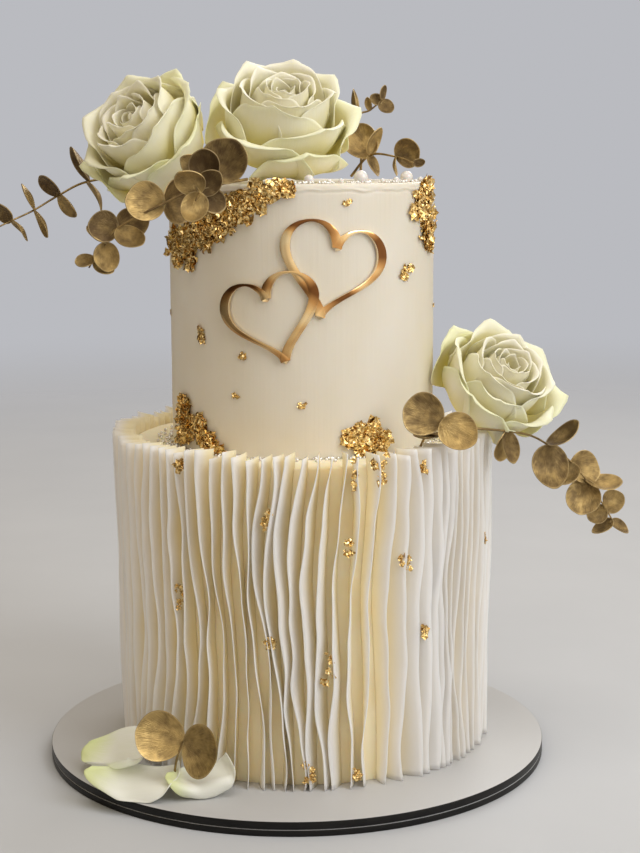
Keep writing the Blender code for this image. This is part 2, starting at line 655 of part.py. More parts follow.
def right_sprig(gold):
    """Comes out under the right rose and droops outwards."""
    leaves = [(3, 0.0190, 0.013, (-0.20, 0.15, -0.95), (0.60, -0.70, 0.00)),
              (3, 0.0190, 0.010, (0.20, -0.25, -0.95), (0.30, -0.90, 0.10)),
              (5, 0.0225, 0.016, (0.78, 0.10, 0.58), (-0.55, -0.40, 0.80)),
              (5, 0.0260, 0.022, (0.12, -0.35, -0.90), (0.10, -0.95, 0.35)),
              (6, 0.0175, 0.016, (-0.45, -0.60, -0.60), (-0.30, -0.75, 0.60)),
              (6, 0.0210, 0.020, (0.85, 0.30, -0.35), (0.30, -0.90, 0.30)),
              (7, 0.0215, 0.016, (0.97, -0.05, -0.05), (0.00, -0.40, 0.90)),
              (7, 0.0215, 0.0205, (-0.20, -0.40, -0.90), (-0.10, -0.95, 0.25)),
              (8, 0.0140, 0.0145, (0.75, 0.30, 0.45), (0.20, -0.95, 0.10)),
              (8, 0.0130, 0.012, (-0.70, -0.30, -0.45), (-0.20, -0.90, 0.30)),
              (9, 0.0140, 0.009, (-0.85, -0.10, -0.50), (-0.40, -0.60, 0.70)),
              (9, 0.0125, 0.009, (0.80, -0.10, -0.55), (0.40, -0.60, 0.70))]
    sprig("sprig_right", RIGHT_SPRIG, leaves, gold)


def leaf_pairs(gold):
    """A pair of large leaves on the ledge and one on the board, both leaning on the cake."""
    ledge = [(0.066, -0.060, 0.1925), (0.0705, -0.070, 0.2045), (0.0765, -0.0865, 0.2130)]
    leaves = [(2, 0.0225, 0.024, (-0.90, 0.10, 0.30), (-0.05, -1.00, 0.15)),
              (2, 0.0220, 0.021, (0.80, -0.30, -0.50), (0.30, -0.95, 0.10)),
              (1, 0.0150, 0.013, (-0.35, -0.90, -0.08), (0.00, -0.20, 0.95)),
              (1, 0.0140, 0.011, (0.40, -0.90, 0.00), (0.20, -0.20, 0.90))]
    sprig("leaf_pair_ledge", ledge, leaves, gold)
    board = [(-0.074, -0.1075, 0.0105), (-0.0715, -0.1120, 0.0280), (-0.0677, -0.1130, 0.0390)]
    leaves = [(2, 0.0270, 0.028, (-0.95, 0.05, 0.20), (0.05, -1.00, 0.15)),
              (1, 0.0245, 0.028, (0.72, -0.45, 0.52), (0.35, -0.90, -0.10))]
    sprig("leaf_pair_board", board, leaves, gold)


def make_leaves():
    """Sprigs of round leaves, painted old gold."""
    gold = new_material("gold_leaves", (0.36, 0.25, 0.11), 0.38, 0.9)
    far_left_sprig(gold)
    low_left_sprig(gold)
    rim_sprig(gold)
    top_right_sprigs(gold)
    right_sprig(gold)
    leaf_pairs(gold)


def make_board_petals():
    """Loose rose petals that lie on the board at the left front."""
    pale = new_material("loose_petal", (0.80, 0.82, 0.66), 0.45)
    # Each petal: place of its middle, length, width, roll of its edges, turn, tilt sideways, tilt along.
    petals = (("petal_left", (-0.1130, -0.0790, 0.0225), 0.052, 0.044, 0.010, -38, 28, 0),
              ("petal_front", (-0.0985, -0.1130, 0.0112), 0.050, 0.026, 0.005, -8, 3, 0),
              ("petal_right", (-0.0560, -0.1180, 0.0145), 0.038, 0.022, 0.008, 18, 10, 0))
    for name, place, length, width, roll, turn, tilt, pitch in petals:
        bm = bmesh.new()
        bmesh.ops.create_grid(bm, x_segments=5, y_segments=3, size=1.0)
        for vert in bm.verts:
            x, y, _ = vert.co
            narrow = 1.0 - 0.45 * abs(x) ** 2.5
            lift = roll * (0.35 * y * y + 0.25 * x * x)
            vert.co = (x * length / 2.0 * (1.0 - 0.12 * y * y), y * width / 2.0 * narrow, lift)
        item = solidified(object_from(bm, name, pale), 0.0009)
        spin = Matrix.Rotation(math.radians(turn), 4, "Z")
        side = Matrix.Rotation(math.radians(tilt), 4, "X")
        end = Matrix.Rotation(math.radians(pitch), 4, "Y")
        item.data.transform(Matrix.Translation(place) @ spin @ side @ end)


make_boards()
make_lower_tier()
make_upper_tier()
make_ornament()
make_roses()
make_leaves()
make_board_petals()
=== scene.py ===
"""Looks of the tiered wedding cake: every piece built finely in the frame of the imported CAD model.

Metres, +Z up, with the cake's axis on Z and its decorated front towards -Y.
"""

import math
import random

import bmesh
import bpy
from mathutils import Matrix, Vector, noise


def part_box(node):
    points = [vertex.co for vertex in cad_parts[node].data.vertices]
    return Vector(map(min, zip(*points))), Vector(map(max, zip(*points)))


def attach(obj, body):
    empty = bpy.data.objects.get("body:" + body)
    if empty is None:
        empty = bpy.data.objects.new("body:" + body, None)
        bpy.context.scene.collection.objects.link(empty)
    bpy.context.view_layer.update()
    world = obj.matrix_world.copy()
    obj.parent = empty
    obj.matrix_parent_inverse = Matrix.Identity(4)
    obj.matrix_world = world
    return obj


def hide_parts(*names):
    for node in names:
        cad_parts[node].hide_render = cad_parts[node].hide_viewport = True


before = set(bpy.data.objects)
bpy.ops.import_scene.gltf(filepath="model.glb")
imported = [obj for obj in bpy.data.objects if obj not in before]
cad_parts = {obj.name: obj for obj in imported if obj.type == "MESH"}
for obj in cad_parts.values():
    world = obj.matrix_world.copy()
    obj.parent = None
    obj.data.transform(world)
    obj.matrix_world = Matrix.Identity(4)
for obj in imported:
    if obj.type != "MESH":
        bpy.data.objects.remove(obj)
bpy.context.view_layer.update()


# Board: two 12 inch discs of fibreboard, one on the other. Both have white laminate on their faces and
# a black edge, and where they meet the laminate shows as one thin light line.

class Amount:
    """What a shader node gives, a number or a colour, for use in sums."""

    def __init__(self, finish, socket):
        self.finish = finish
        self.socket = socket

    def __add__(self, other):
        return self.finish.sum("ADD", self, other)

    def __sub__(self, other):
        return self.finish.sum("SUBTRACT", self, other)

    def __rsub__(self, other):
        return self.finish.sum("SUBTRACT", other, self)

    def __mul__(self, other):
        return self.finish.sum("MULTIPLY", self, other)

    __radd__ = __add__
    __rmul__ = __mul__


class Finish:
    """A procedural material: one Principled shader and the nodes that vary it over the surface."""

    def __init__(self, name, values):
        self.material = bpy.data.materials.new(name)
        self.material.use_nodes = True
        self.tree = self.material.node_tree
        self.shader = self.tree.nodes["Principled BSDF"]
        for socket, value in values.items():
            self.shader.inputs[socket].default_value = value

    def feed(self, socket, value):
        """Link a socket to what another node gives, or set it to a plain value."""
        if isinstance(value, Amount):
            self.tree.links.new(value.socket, socket)
        else:
            socket.default_value = value

    def node(self, kind, settings, sockets, output=0):
        """Add a node: its settings first, then its sockets. Returns one of its outputs."""
        node = self.tree.nodes.new("ShaderNode" + kind)
        for name, value in settings.items():
            if name == "stops":
                for index, (place, colour) in enumerate(value):
                    if index > 1:
                        node.color_ramp.elements.new(place)
                    node.color_ramp.elements[index].position = place
                    node.color_ramp.elements[index].color = (*colour, 1.0)
            else:
                setattr(node, name, value)
        for name, value in sockets.items():
            self.feed(node.inputs[name], value)
        return Amount(self, node.outputs[output])

    def sum(self, operation, first, second):
        """One Math node."""
        return self.node("Math", {"operation": operation}, {0: first, 1: second})

    def place(self):
        """Where a point is, in the object's own metres."""
        return self.node("TexCoord", {}, {}, "Object")

    def sheet(self):
        """Where a point is on the piece's own UV map."""
        return self.node("TexCoord", {}, {}, "UV")

    def attribute(self, name):
        """A number that each vertex of the mesh holds."""
        return self.node("Attribute", {"attribute_name": name}, {}, "Fac")

    def part(self, vector, axis):
        """One coordinate of a vector, 0 to 2."""
        return self.node("SeparateXYZ", {}, {0: vector}, axis)

    def stretched(self, vector, scale):
        """A vector with each of its coordinates scaled."""
        return self.node("VectorMath", {"operation": "MULTIPLY"}, {0: vector, 1: scale})

    def cloudy(self, vector, scale, detail=3.0):
        """Soft noise from 0 to 1, with its middle at 0.5."""
        return self.node("TexNoise", {}, {"Vector": vector, "Scale": scale, "Detail": detail})

    def step(self, value, low, high):
        """0 below low, 1 above high, and smooth between them."""
        return self.node("MapRange", {"interpolation_type": "SMOOTHSTEP"},
                         {"Value": value, "From Min": low, "From Max": high})

    def ramp(self, value, *stops):
        """A colour ramp: (place, colour) from low to high."""
        return self.node("ValToRGB", {"stops": stops}, {0: value})

    def blend(self, share, first, second):
        """Two colours mixed by a share from 0 to 1."""
        return self.node("Mix", {"data_type": "RGBA"}, {0: share, 6: first, 7: second}, 2)

    def paint(self, socket, value):
        """Feed one of the shader's own sockets."""
        self.feed(self.shader.inputs[socket], value)

    def bump(self, height, depth):
        """Relief too fine for the mesh, with its full depth in metres."""
        normal = self.node("Bump", {}, {"Height": height, "Distance": depth, "Strength": 1.0})
        self.paint("Normal", normal)


SHARP_ANGLE = math.radians(50)


def piece(name, bm, finish, smooth=True):
    """Turn a bmesh into a finished object whose place is in its mesh."""
    mesh = bpy.data.meshes.new(name)
    bm.to_mesh(mesh)
    bm.free()
    if smooth:
        mesh.shade_smooth()
        mesh.set_sharp_from_angle(angle=SHARP_ANGLE)
    mesh.materials.append(finish.material)
    item = bpy.data.objects.new(name, mesh)
    bpy.context.scene.collection.objects.link(item)
    return item


BOARD_LAMINATE = 0.00014
BOARD_UNDERSIDE = 0.00006
BOARD_BEVEL = 0.0005

for name, node, slot in (("board_lower_disc", "board_lower", "board_black"),
                         ("board_upper_disc", "board_upper", "board_white")):
    low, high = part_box(node)
    board = Finish(name, {"Specular IOR Level": 0.22})
    height = board.part(board.place(), 2)
    top_face = board.step(height, high.z - BOARD_LAMINATE, high.z - BOARD_LAMINATE * 0.5)
    bottom_face = 1.0 - board.step(height, low.z + BOARD_UNDERSIDE / 3.0, low.z + BOARD_UNDERSIDE)
    haze = board.cloudy(board.place(), 9.0)
    laminate = board.ramp(haze, (0.3, (0.53, 0.535, 0.55)), (0.7, (0.565, 0.57, 0.585)))
    scuffs = board.cloudy(board.stretched(board.place(), (1.0, 1.0, 8.0)), 60.0)
    black = board.ramp(scuffs, (0.3, (0.004, 0.004, 0.004)), (0.75, (0.012, 0.011, 0.010)))
    board.paint("Base Color", board.blend(board.sum("MAXIMUM", top_face, bottom_face), black, laminate))
    board.paint("Roughness", 0.30 + 0.16 * haze)
    board.bump(board.cloudy(board.place(), 900.0), 0.00002)

    bm = bmesh.new()
    middle = Matrix.Translation((low + high) / 2.0)
    radius = (high.x - low.x) / 2.0
    bmesh.ops.create_cone(bm, cap_ends=True, segments=192, radius1=radius, radius2=radius,
                          depth=high.z - low.z, matrix=middle)
    rims = [edge for edge in bm.edges if abs(edge.verts[0].co.z - edge.verts[1].co.z) < 1e-6]
    bmesh.ops.bevel(bm, geom=rims, offset=BOARD_BEVEL, affect="EDGES", segments=3, profile=0.5,
                    material=-1)
    disc = piece(name, bm, board)
    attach(disc, "root")
    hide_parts(node)


# Lower tier: an 8 inch layer cake in cream icing. Only strips of the icing show between the papers,
# where light that comes through them makes it glow, and on the ledge round the upper tier.

BOARD_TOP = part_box("board_upper")[1].z
CORE_RADIUS = 0.1015
CORE_FOOT = BOARD_TOP + 0.0002
LEDGE = 0.190
CORE_EDGE = 0.0015


def turned(profile, steps):
    """A closed form turned on the cake's axis, from points of radius and height."""
    bm = bmesh.new()
    verts = [bm.verts.new((radius, 0.0, height)) for radius, height in profile]
    edges = [bm.edges.new(pair) for pair in zip(verts, verts[1:])]
    bmesh.ops.spin(bm, geom=verts + edges, axis=(0.0, 0.0, 1.0), cent=(0.0, 0.0, 0.0),
                   angle=2.0 * math.pi, steps=steps, use_merge=True)
    bmesh.ops.remove_doubles(bm, verts=bm.verts[:], dist=0.000001)
    bmesh.ops.recalc_face_normals(bm, faces=bm.faces[:])
    return bm


def spaced(low, high, count):
    """Evenly spaced numbers, both ends among them."""
    return [low + (high - low) * index / (count - 1) for index in range(count)]


cream = Finish("lower_icing", {"Roughness": 0.5, "Subsurface Weight": 0.3, "Subsurface Scale": 0.004,
                               "Subsurface Radius": (1.0, 0.7, 0.35)})
tint = cream.cloudy(cream.place(), 45.0)
cream.paint("Base Color", cream.ramp(tint, (0.3, (1.0, 0.87, 0.60)), (0.7, (1.0, 0.915, 0.71))))
cream.bump(cream.cloudy(cream.stretched(cream.place(), (1.0, 1.0, 0.3)), 300.0), 0.00015)

profile = [(0.0, LEDGE), (CORE_RADIUS - CORE_EDGE, LEDGE),
           (CORE_RADIUS - CORE_EDGE * 0.3, LEDGE - CORE_EDGE * 0.3)]
profile += [(CORE_RADIUS, height) for height in spaced(LEDGE - CORE_EDGE, CORE_FOOT, 24)]
profile += [(0.0, CORE_FOOT)]
core = piece("lower_icing", turned(profile, 144), cream)
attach(core, "root")
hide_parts("tier_lower")


# Paper strips: 96 ribbons of white wafer paper that stand on edge all the way round the tier. They are
# pressed into the icing by one long edge, and the damp paper wavers, bunches and opens between them.

# Wave, ripple, bow, lean and tip are swings to the side, as shares of the pitch. The parting is the
# angle, in radians from the front, where the free edges lean neither way.
STRIP_COUNT = 96
STRIP_PITCH = 2.0 * math.pi / STRIP_COUNT
STRIP_THICKNESS = 0.00045
STRIP_SUNK = 0.0008
STRIP_REACH = (0.1115, 0.1137)
STRIP_MIDDLE = 0.112
STRIP_UNEVEN = 0.0007
STRIP_RISE = (0.0055, 0.0088)
STRIP_SLANT = 0.0012
STRIP_WAVE = (0.06, 0.28)
STRIP_WAVE_AT_CORE = 0.45
STRIP_WAVE_LENGTH = (0.085, 0.150)
STRIP_RIPPLE = 0.05
STRIP_RIPPLE_LENGTH = (0.030, 0.055)
STRIP_BOW = 0.10
STRIP_LEAN = 0.6
STRIP_LEAN_LENGTH = 0.160
STRIP_TIP = 0.85
STRIP_PARTING = 0.17
STRIP_ACROSS = 6
STRIP_UP = 52


def on_wall(angle, height, radius):
    """A point of a round wall. The angle is in radians from the front, positive towards +X."""
    return Vector((radius * math.sin(angle), -radius * math.cos(angle), height))


def lay_out(made, layer, shares):
    """Write where each vertex lies on its own sheet to a UV map."""
    for face in {face for vert in made for face in vert.link_faces}:
        for loop in face.loops:
            loop[layer].uv = shares[loop.vert]


def thicken(item, thickness, offset=0.0):
    """Give a sheet its thickness, half of it on each side, or all on one side with an offset of -1."""
    solidify = item.modifiers.new("thickness", "SOLIDIFY")
    solidify.thickness = thickness
    solidify.offset = offset
    return solidify


paper = Finish("wafer_paper", {"Specular IOR Level": 0.3, "Subsurface Weight": 0.5,
                               "Subsurface Scale": 0.004, "Subsurface Radius": (1.0, 0.93, 0.8)})
outward = paper.part(paper.sheet(), 0)
fibre = paper.cloudy(paper.stretched(paper.place(), (1.0, 1.0, 0.25)), 260.0)
# Painted shade: the paper is a deeper cream towards the icing, where the strips shade each other and the
# icing's light bounces on them, and it stays white on the lit right side.
shade_unevenness = paper.cloudy(paper.place(), 28.0)
lit_side = 0.8 * paper.step(paper.part(paper.place(), 0), 0.02, 0.085)
painted_root_shade = (1.0 - paper.step(outward + 0.35 * shade_unevenness, 0.44, 1.16)) * (1.0 - lit_side)
clean = paper.blend(fibre, (0.97, 0.94, 0.915, 1.0), (0.985, 0.965, 0.95, 1.0))
root_shade_colour = paper.blend(shade_unevenness, (1.0, 0.83, 0.47, 1.0), (1.0, 0.89, 0.60, 1.0))
# Painted highlight: a thin band of whiter paper along each strip's free edge.
edge_highlight = paper.step(outward, 0.93, 0.99)
wafer = paper.blend(painted_root_shade, clean, root_shade_colour)
paper.paint("Base Color", paper.blend(edge_highlight, wafer, (0.98, 0.975, 0.96, 1.0)))
paper.paint("Roughness", 0.5 + 0.2 * fibre)
paper.bump(fibre + 0.4 * paper.cloudy(paper.place(), 1500.0), 0.00004)

dice = random.Random(11)
phases = [index * math.pi + dice.uniform(-0.8, 0.8) for index in range(STRIP_COUNT)]
waves = [2.0 * math.pi / dice.uniform(*STRIP_WAVE_LENGTH) for _ in range(STRIP_COUNT)]
rises = [dice.uniform(*STRIP_RISE) for _ in range(STRIP_COUNT)]
slants = [dice.uniform(-STRIP_SLANT, STRIP_SLANT) for _ in range(STRIP_COUNT)]
ripples = [2.0 * math.pi / dice.uniform(*STRIP_RIPPLE_LENGTH) for _ in range(STRIP_COUNT)]
reaches = [dice.uniform(-STRIP_UNEVEN, STRIP_UNEVEN) for _ in range(STRIP_COUNT)]


def strip_point(index, out, up):
    """A point of a strip: out from the icing to its free edge, and up from the board, both 0 to 1."""
    height = CORE_FOOT + (LEDGE + rises[index] + slants[index] * out - CORE_FOOT) * up
    even = index * STRIP_PITCH
    spot = on_wall(even, height, STRIP_MIDDLE)
    strength = min(max(0.45 + 1.8 * noise.noise(spot * 26.0), 0.0), 1.0)
    swing = STRIP_WAVE[0] + (STRIP_WAVE[1] - STRIP_WAVE[0]) * strength
    swing *= STRIP_WAVE_AT_CORE + (1.0 - STRIP_WAVE_AT_CORE) * out
    swing *= math.sin(phases[index] + waves[index] * height)
    swing += STRIP_RIPPLE * out * math.sin(2.0 * phases[index] + ripples[index] * height)
    swing += STRIP_BOW * math.sin(math.pi * out) * math.sin(1.3 * phases[index] + 40.0 * height)
    lean = STRIP_LEAN * math.sin(2.0 * even + 2.0 * math.pi * height / STRIP_LEAN_LENGTH)
    lean *= 0.45 + 0.55 * noise.noise(spot * 9.0)
    side = math.sin(even - STRIP_PARTING)
    fallen = 0.8 * side / math.sqrt(side * side + 0.08)
    fallen += 2.2 * noise.noise(on_wall(even, 0.6 * height, 0.25) * 8.0)
    lean += out * (0.6 + 0.4 * out) * STRIP_TIP * fallen
    free = STRIP_REACH[0] + (STRIP_REACH[1] - STRIP_REACH[0]) * up + reaches[index]
    free += 0.0005 * math.sin(55.0 * height + 3.0 * phases[index])
    radius = CORE_RADIUS - STRIP_SUNK + (free - CORE_RADIUS + STRIP_SUNK) * out
    return on_wall(even + (swing + lean) * STRIP_PITCH, height, radius)


bm = bmesh.new()
along_strip = bm.loops.layers.uv.new("sheet")
for index in range(STRIP_COUNT):
    made = bmesh.ops.create_grid(bm, x_segments=STRIP_ACROSS, y_segments=STRIP_UP, size=1.0)["verts"]
    shares = {}
    for vert in made:
        shares[vert] = ((vert.co.x + 1.0) / 2.0, (vert.co.y + 1.0) / 2.0)
        vert.co = strip_point(index, *shares[vert])
    lay_out(made, along_strip, shares)
strips = piece("paper_strips", bm, paper)
thicken(strips, STRIP_THICKNESS)
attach(strips, "root")
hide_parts("tier_lower")


# Upper tier: a 6 inch cake in ivory buttercream, scraped smooth. The scraper left faint lines up and
# across the wall, and a thin smeared ridge of icing all round under the rim.

UPPER_RADIUS = 0.078
UPPER_FOOT = LEDGE + 0.0003
UPPER_TOP = 0.3425
UPPER_RIM = 0.0018
RIM_BAND = 0.004
RIDGE_BELOW_TOP = 0.0034
RIDGE_WANDER = 0.0016
RIDGE_WIDTH = 0.0007
RIDGE_HEIGHT = 0.0006
GROOVE_DEPTH = 0.0002
WALL_WAVE = 0.00022
TOP_WAVE = 0.0004

ivory = Finish("upper_icing", {"Subsurface Weight": 0.22, "Subsurface Scale": 0.004,
                               "Subsurface Radius": (1.0, 0.75, 0.45)})
patches = ivory.cloudy(ivory.stretched(ivory.place(), (1.0, 1.0, 0.6)), 22.0)
upright = ivory.cloudy(ivory.stretched(ivory.place(), (1.0, 1.0, 0.03)), 420.0)
level = ivory.cloudy(ivory.stretched(ivory.place(), (0.05, 0.05, 1.0)), 700.0)
ivory.paint("Base Color", ivory.ramp(patches, (0.3, (0.81, 0.745, 0.615)), (0.7, (0.845, 0.80, 0.715))))
ivory.paint("Roughness", 0.34 + 0.22 * patches)
ivory.bump(upright + 0.2 * level + 0.25 * ivory.cloudy(ivory.place(), 1800.0, 6.0), 0.00014)

profile = [(0.0, UPPER_TOP)]
profile += [(radius, UPPER_TOP) for radius in spaced(0.010, UPPER_RADIUS - UPPER_RIM, 16)]
profile += [(UPPER_RADIUS - UPPER_RIM * 0.55, UPPER_TOP - UPPER_RIM * 0.12),
            (UPPER_RADIUS - UPPER_RIM * 0.2, UPPER_TOP - UPPER_RIM * 0.45)]
profile += [(UPPER_RADIUS, height) for height in spaced(UPPER_TOP - UPPER_RIM, UPPER_TOP - 0.006, 14)]
profile += [(UPPER_RADIUS, height) for height in spaced(UPPER_TOP - 0.008, UPPER_FOOT, 60)]
profile += [(0.0, UPPER_FOOT)]
bm = turned(profile, 288)
for vert in bm.verts:
    radius = math.hypot(vert.co.x, vert.co.y)
    if radius < 0.005 or vert.co.z < UPPER_FOOT + 0.001:
        continue
    around = Vector((vert.co.x, vert.co.y, 0.0)) / radius
    below = UPPER_TOP - vert.co.z
    if below > UPPER_RIM * 0.4:
        wave = WALL_WAVE * noise.noise(Vector((around.x * 3.0, around.y * 3.0, vert.co.z * 45.0)))
        ragged = 0.5 + 0.8 * noise.noise(around * 9.0) + 0.5 * noise.noise(around * 31.0)
        off_ridge = (below - RIDGE_BELOW_TOP - RIDGE_WANDER * noise.noise(around * 8.0)) / RIDGE_WIDTH
        wave += RIDGE_HEIGHT * max(ragged, 0.0) * math.exp(-off_ridge * off_ridge)
        wave -= GROOVE_DEPTH * math.exp(-((off_ridge - 2.2) ** 2))
        vert.co += around * wave
    rim_share = max(0.0, 1.0 - abs(radius - UPPER_RADIUS) / RIM_BAND) if below < RIM_BAND else 0.0
    lift = 0.0005 * noise.noise(around * 7.0) + 0.0003 * noise.noise(around * 26.0)
    vert.co.z += rim_share * lift * (1.0 - below / RIM_BAND)
    if below < 0.0001:
        vert.co.z += TOP_WAVE * noise.noise(vert.co * 60.0) * (1.0 - rim_share)
upper = piece("upper_icing", bm, ivory)
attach(upper, "root")
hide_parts("tier_upper")


# Sugar pearls and silver sugar beads: three large pearls and a trail of small ones along the front rim,
# and beads scattered on the ledge round the foot of the upper tier. They stick to the icing.

PEARLS = [(0.0039, -0.070, 0.0028), (0.0328, -0.060, 0.0040), (0.0595, -0.040, 0.0036),
          (0.0150, -0.0715, 0.0014), (0.0215, -0.0700, 0.0016), (0.0450, -0.0570, 0.0014),
          (0.0530, -0.0500, 0.0018), (0.0680, -0.0300, 0.0016)]
PEARL_SINK = 0.25
LARGE_PEARL = 0.002
RIM_BEADS = 120
RIM_BEAD_RADIUS = (0.0004, 0.0010)
RIM_BEAD_INWARD = (0.002, 0.008)
# Where along the rim the beads gather, in degrees from the front.
BEAD_CLUSTERS = (1, 13, 26, 41, 53, 66)
FOOT_BEADS = 420
FOOT_BEAD_RADIUS = (0.0005, 0.0012)
FOOT_BEAD_SPREAD = 0.009


def add_bead(bm, middle, radius, rounds):
    """One round bead, finer the more rounds it is divided in."""
    bmesh.ops.create_icosphere(bm, subdivisions=rounds, radius=radius, matrix=Matrix.Translation(middle))


pearl = Finish("sugar_pearl", {"Roughness": 0.24, "Coat Weight": 0.7, "Coat Roughness": 0.12,
                               "Subsurface Weight": 0.15, "Subsurface Scale": 0.002})
lustre = pearl.cloudy(pearl.place(), 220.0)
pearl.paint("Base Color", pearl.ramp(lustre, (0.3, (0.78, 0.74, 0.70)), (0.7, (0.88, 0.87, 0.86))))
bm = bmesh.new()
for x, y, radius in PEARLS:
    rounds = 4 if radius > LARGE_PEARL else 3
    add_bead(bm, (x, y, UPPER_TOP + radius * (1.0 - PEARL_SINK)), radius, rounds)
pearls = piece("sugar_pearls", bm, pearl)
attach(pearls, "root")
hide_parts("tier_upper")

silver = Finish("silver_beads", {"Metallic": 0.6})
dull = silver.cloudy(silver.place(), 500.0)
silver.paint("Base Color", silver.ramp(dull, (0.35, (0.66, 0.64, 0.61)), (0.65, (0.93, 0.92, 0.90))))
silver.paint("Roughness", 0.15 + 0.2 * dull)
dice = random.Random(23)
bm = bmesh.new()
for _ in range(RIM_BEADS):
    angle = math.radians(dice.choice(BEAD_CLUSTERS) + dice.gauss(0.0, 3.5))
    radius = dice.uniform(*RIM_BEAD_RADIUS)
    inward = dice.uniform(*RIM_BEAD_INWARD)
    add_bead(bm, on_wall(angle, UPPER_TOP + radius * 0.6, UPPER_RADIUS - inward), radius, 2)
for _ in range(FOOT_BEADS):
    radius = dice.uniform(*FOOT_BEAD_RADIUS)
    out = UPPER_RADIUS + radius + 0.0002 + FOOT_BEAD_SPREAD * dice.random() ** 2
    add_bead(bm, on_wall(dice.uniform(0.0, 2.0 * math.pi), LEDGE + radius * 0.7, out), radius, 2)
beads = piece("silver_beads", bm, silver)
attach(beads, "root")
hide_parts("tier_upper")


# Gold leaf: edible leaf picked off its sheet in crumpled bits and pressed on the icing, thick along the
# rim at the left and in drifts at the rim and foot, with single flakes on the wall and on the papers.

# Each drift: its spine, in degrees from the front, height and half width, and its number of bits.
GOLD_DRIFTS = [
    ([(-77, 0.3094, 0.0060), (-58, 0.3100, 0.0065), (-47, 0.3150, 0.0070), (-38, 0.3200, 0.0075),
      (-30, 0.3266, 0.0075), (-23, 0.3333, 0.0060), (-14, 0.3375, 0.0035), (-4, 0.3404, 0.0010)], 680),
    ([(-64, 0.3060, 0.004), (-62, 0.2965, 0.002)], 50),
    ([(-54, 0.3060, 0.004), (-53, 0.2970, 0.002)], 45),
    ([(60, 0.3405, 0.009), (64, 0.328, 0.013), (67, 0.316, 0.010), (70, 0.305, 0.003)], 300),
    ([(-61, 0.2185, 0.003), (-61, 0.2113, 0.006), (-59, 0.2039, 0.009), (-58, 0.1960, 0.013)], 330),
    ([(-49, 0.2100, 0.002), (-46, 0.2036, 0.004), (-43, 0.1960, 0.005), (-35, 0.1930, 0.002)], 110),
    ([(18, 0.2000, 0.002), (24, 0.2030, 0.005), (28, 0.2060, 0.005), (37, 0.1965, 0.004)], 190),
    ([(22, 0.1980, 0.004), (34, 0.1960, 0.004)], 80)]
# Single flakes on the smooth wall: degrees, height, radius.
WALL_FLAKES = [(-46, 0.256, 0.0050), (-26, 0.247, 0.0030), (48, 0.292, 0.0055), (18, 0.332, 0.0030),
               (-29, 0.225, 0.0025), (-1, 0.220, 0.0025), (-80, 0.267, 0.0020), (80, 0.270, 0.0020)]
WALL_FLAKE_BITS = 6
# Flakes on the papers: degrees, height, half width, half height.
PAPER_FLAKES = [(-39, 0.114, 0.0025, 0.007), (-11, 0.162, 0.0025, 0.005), (30, 0.135, 0.003, 0.004),
                (7, 0.079, 0.004, 0.009), (37, 0.094, 0.0025, 0.004), (1, 0.021, 0.0025, 0.007),
                (12.5, 0.147, 0.002, 0.004), (-10, 0.0934, 0.002, 0.003), (36.6, 0.187, 0.0015, 0.004),
                (71, 0.135, 0.0015, 0.003), (-38, 0.189, 0.002, 0.003), (22.5, 0.184, 0.002, 0.004),
                (14.7, 0.0168, 0.0015, 0.003), (14.3, 0.187, 0.0010, 0.009),
                (21.5, 0.194, 0.0045, 0.004)]
PAPER_FLAKE_BITS = 9
PAPER_FLAKE_RADIUS = (0.1105, 0.1130)
GOLD_BIT = (0.0008, 0.0042)
GOLD_BIT_ON_PAPER = (0.0009, 0.0020)
GOLD_TILT = 0.45
GOLD_THICKNESS = 0.0001

leaf_gold = Finish("gold_leaf", {"Metallic": 1.0})
# The middle gold is the leaf's own colour. The dark brown and pale gold patches are painted shade and
# painted glints of the crumpled foil.
crease = leaf_gold.cloudy(leaf_gold.place(), 700.0, 4.0)
leaf_gold.paint("Base Color", leaf_gold.ramp(crease, (0.34, (0.26, 0.14, 0.04)), (0.52, (0.78, 0.54, 0.20)),
                                             (0.7, (1.0, 0.84, 0.50))))
leaf_gold.paint("Roughness", 0.10 + 0.2 * crease)
leaf_gold.bump(crease, 0.0003)


def gold_bit(bm, middle, out, size, dice):
    """One crumpled bit of leaf that lies against a wall whose normal is out, turned at random."""
    tilt = Vector([dice.gauss(0.0, GOLD_TILT) for _ in range(3)])
    turn = (out + tilt).to_track_quat("Z", "Y").to_matrix().to_4x4()
    spin = Matrix.Rotation(dice.uniform(0.0, 6.28), 4, "Z")
    made = bmesh.ops.create_grid(bm, x_segments=4, y_segments=4, size=size,
                                 matrix=Matrix.Translation(middle) @ turn @ spin)["verts"]
    for vert in made:
        vert.co += Vector([dice.gauss(0.0, size * 0.20) for _ in range(3)])
        vert.co += out * (abs(dice.gauss(0.0, size * 0.22)) - out.dot(vert.co - middle) * 0.5)


dice = random.Random(5)
bm = bmesh.new()
for spine, count in GOLD_DRIFTS:
    for _ in range(count):
        place = dice.uniform(0.0, len(spine) - 1.001)
        span = int(place)
        start, end = Vector(spine[span]), Vector(spine[span + 1])
        degrees, height, half_width = start.lerp(end, place - span)
        across = max(-1.3, min(1.3, dice.gauss(0.0, 0.55))) * half_width
        run = math.radians(end.x - start.x) * UPPER_RADIUS
        climb = end.y - start.y
        length = math.hypot(run, climb)
        angle = math.radians(degrees) - across * climb / length / UPPER_RADIUS
        height = min(max(height + across * run / length, LEDGE + 0.001), UPPER_TOP + 0.0008)
        out = on_wall(angle, 0.0, 1.0)
        proud = 0.0006 + abs(dice.gauss(0.0, 0.0005))
        size = GOLD_BIT[0] + (GOLD_BIT[1] - GOLD_BIT[0]) * dice.random() ** 2
        gold_bit(bm, on_wall(angle, height, UPPER_RADIUS + proud), out, size, dice)
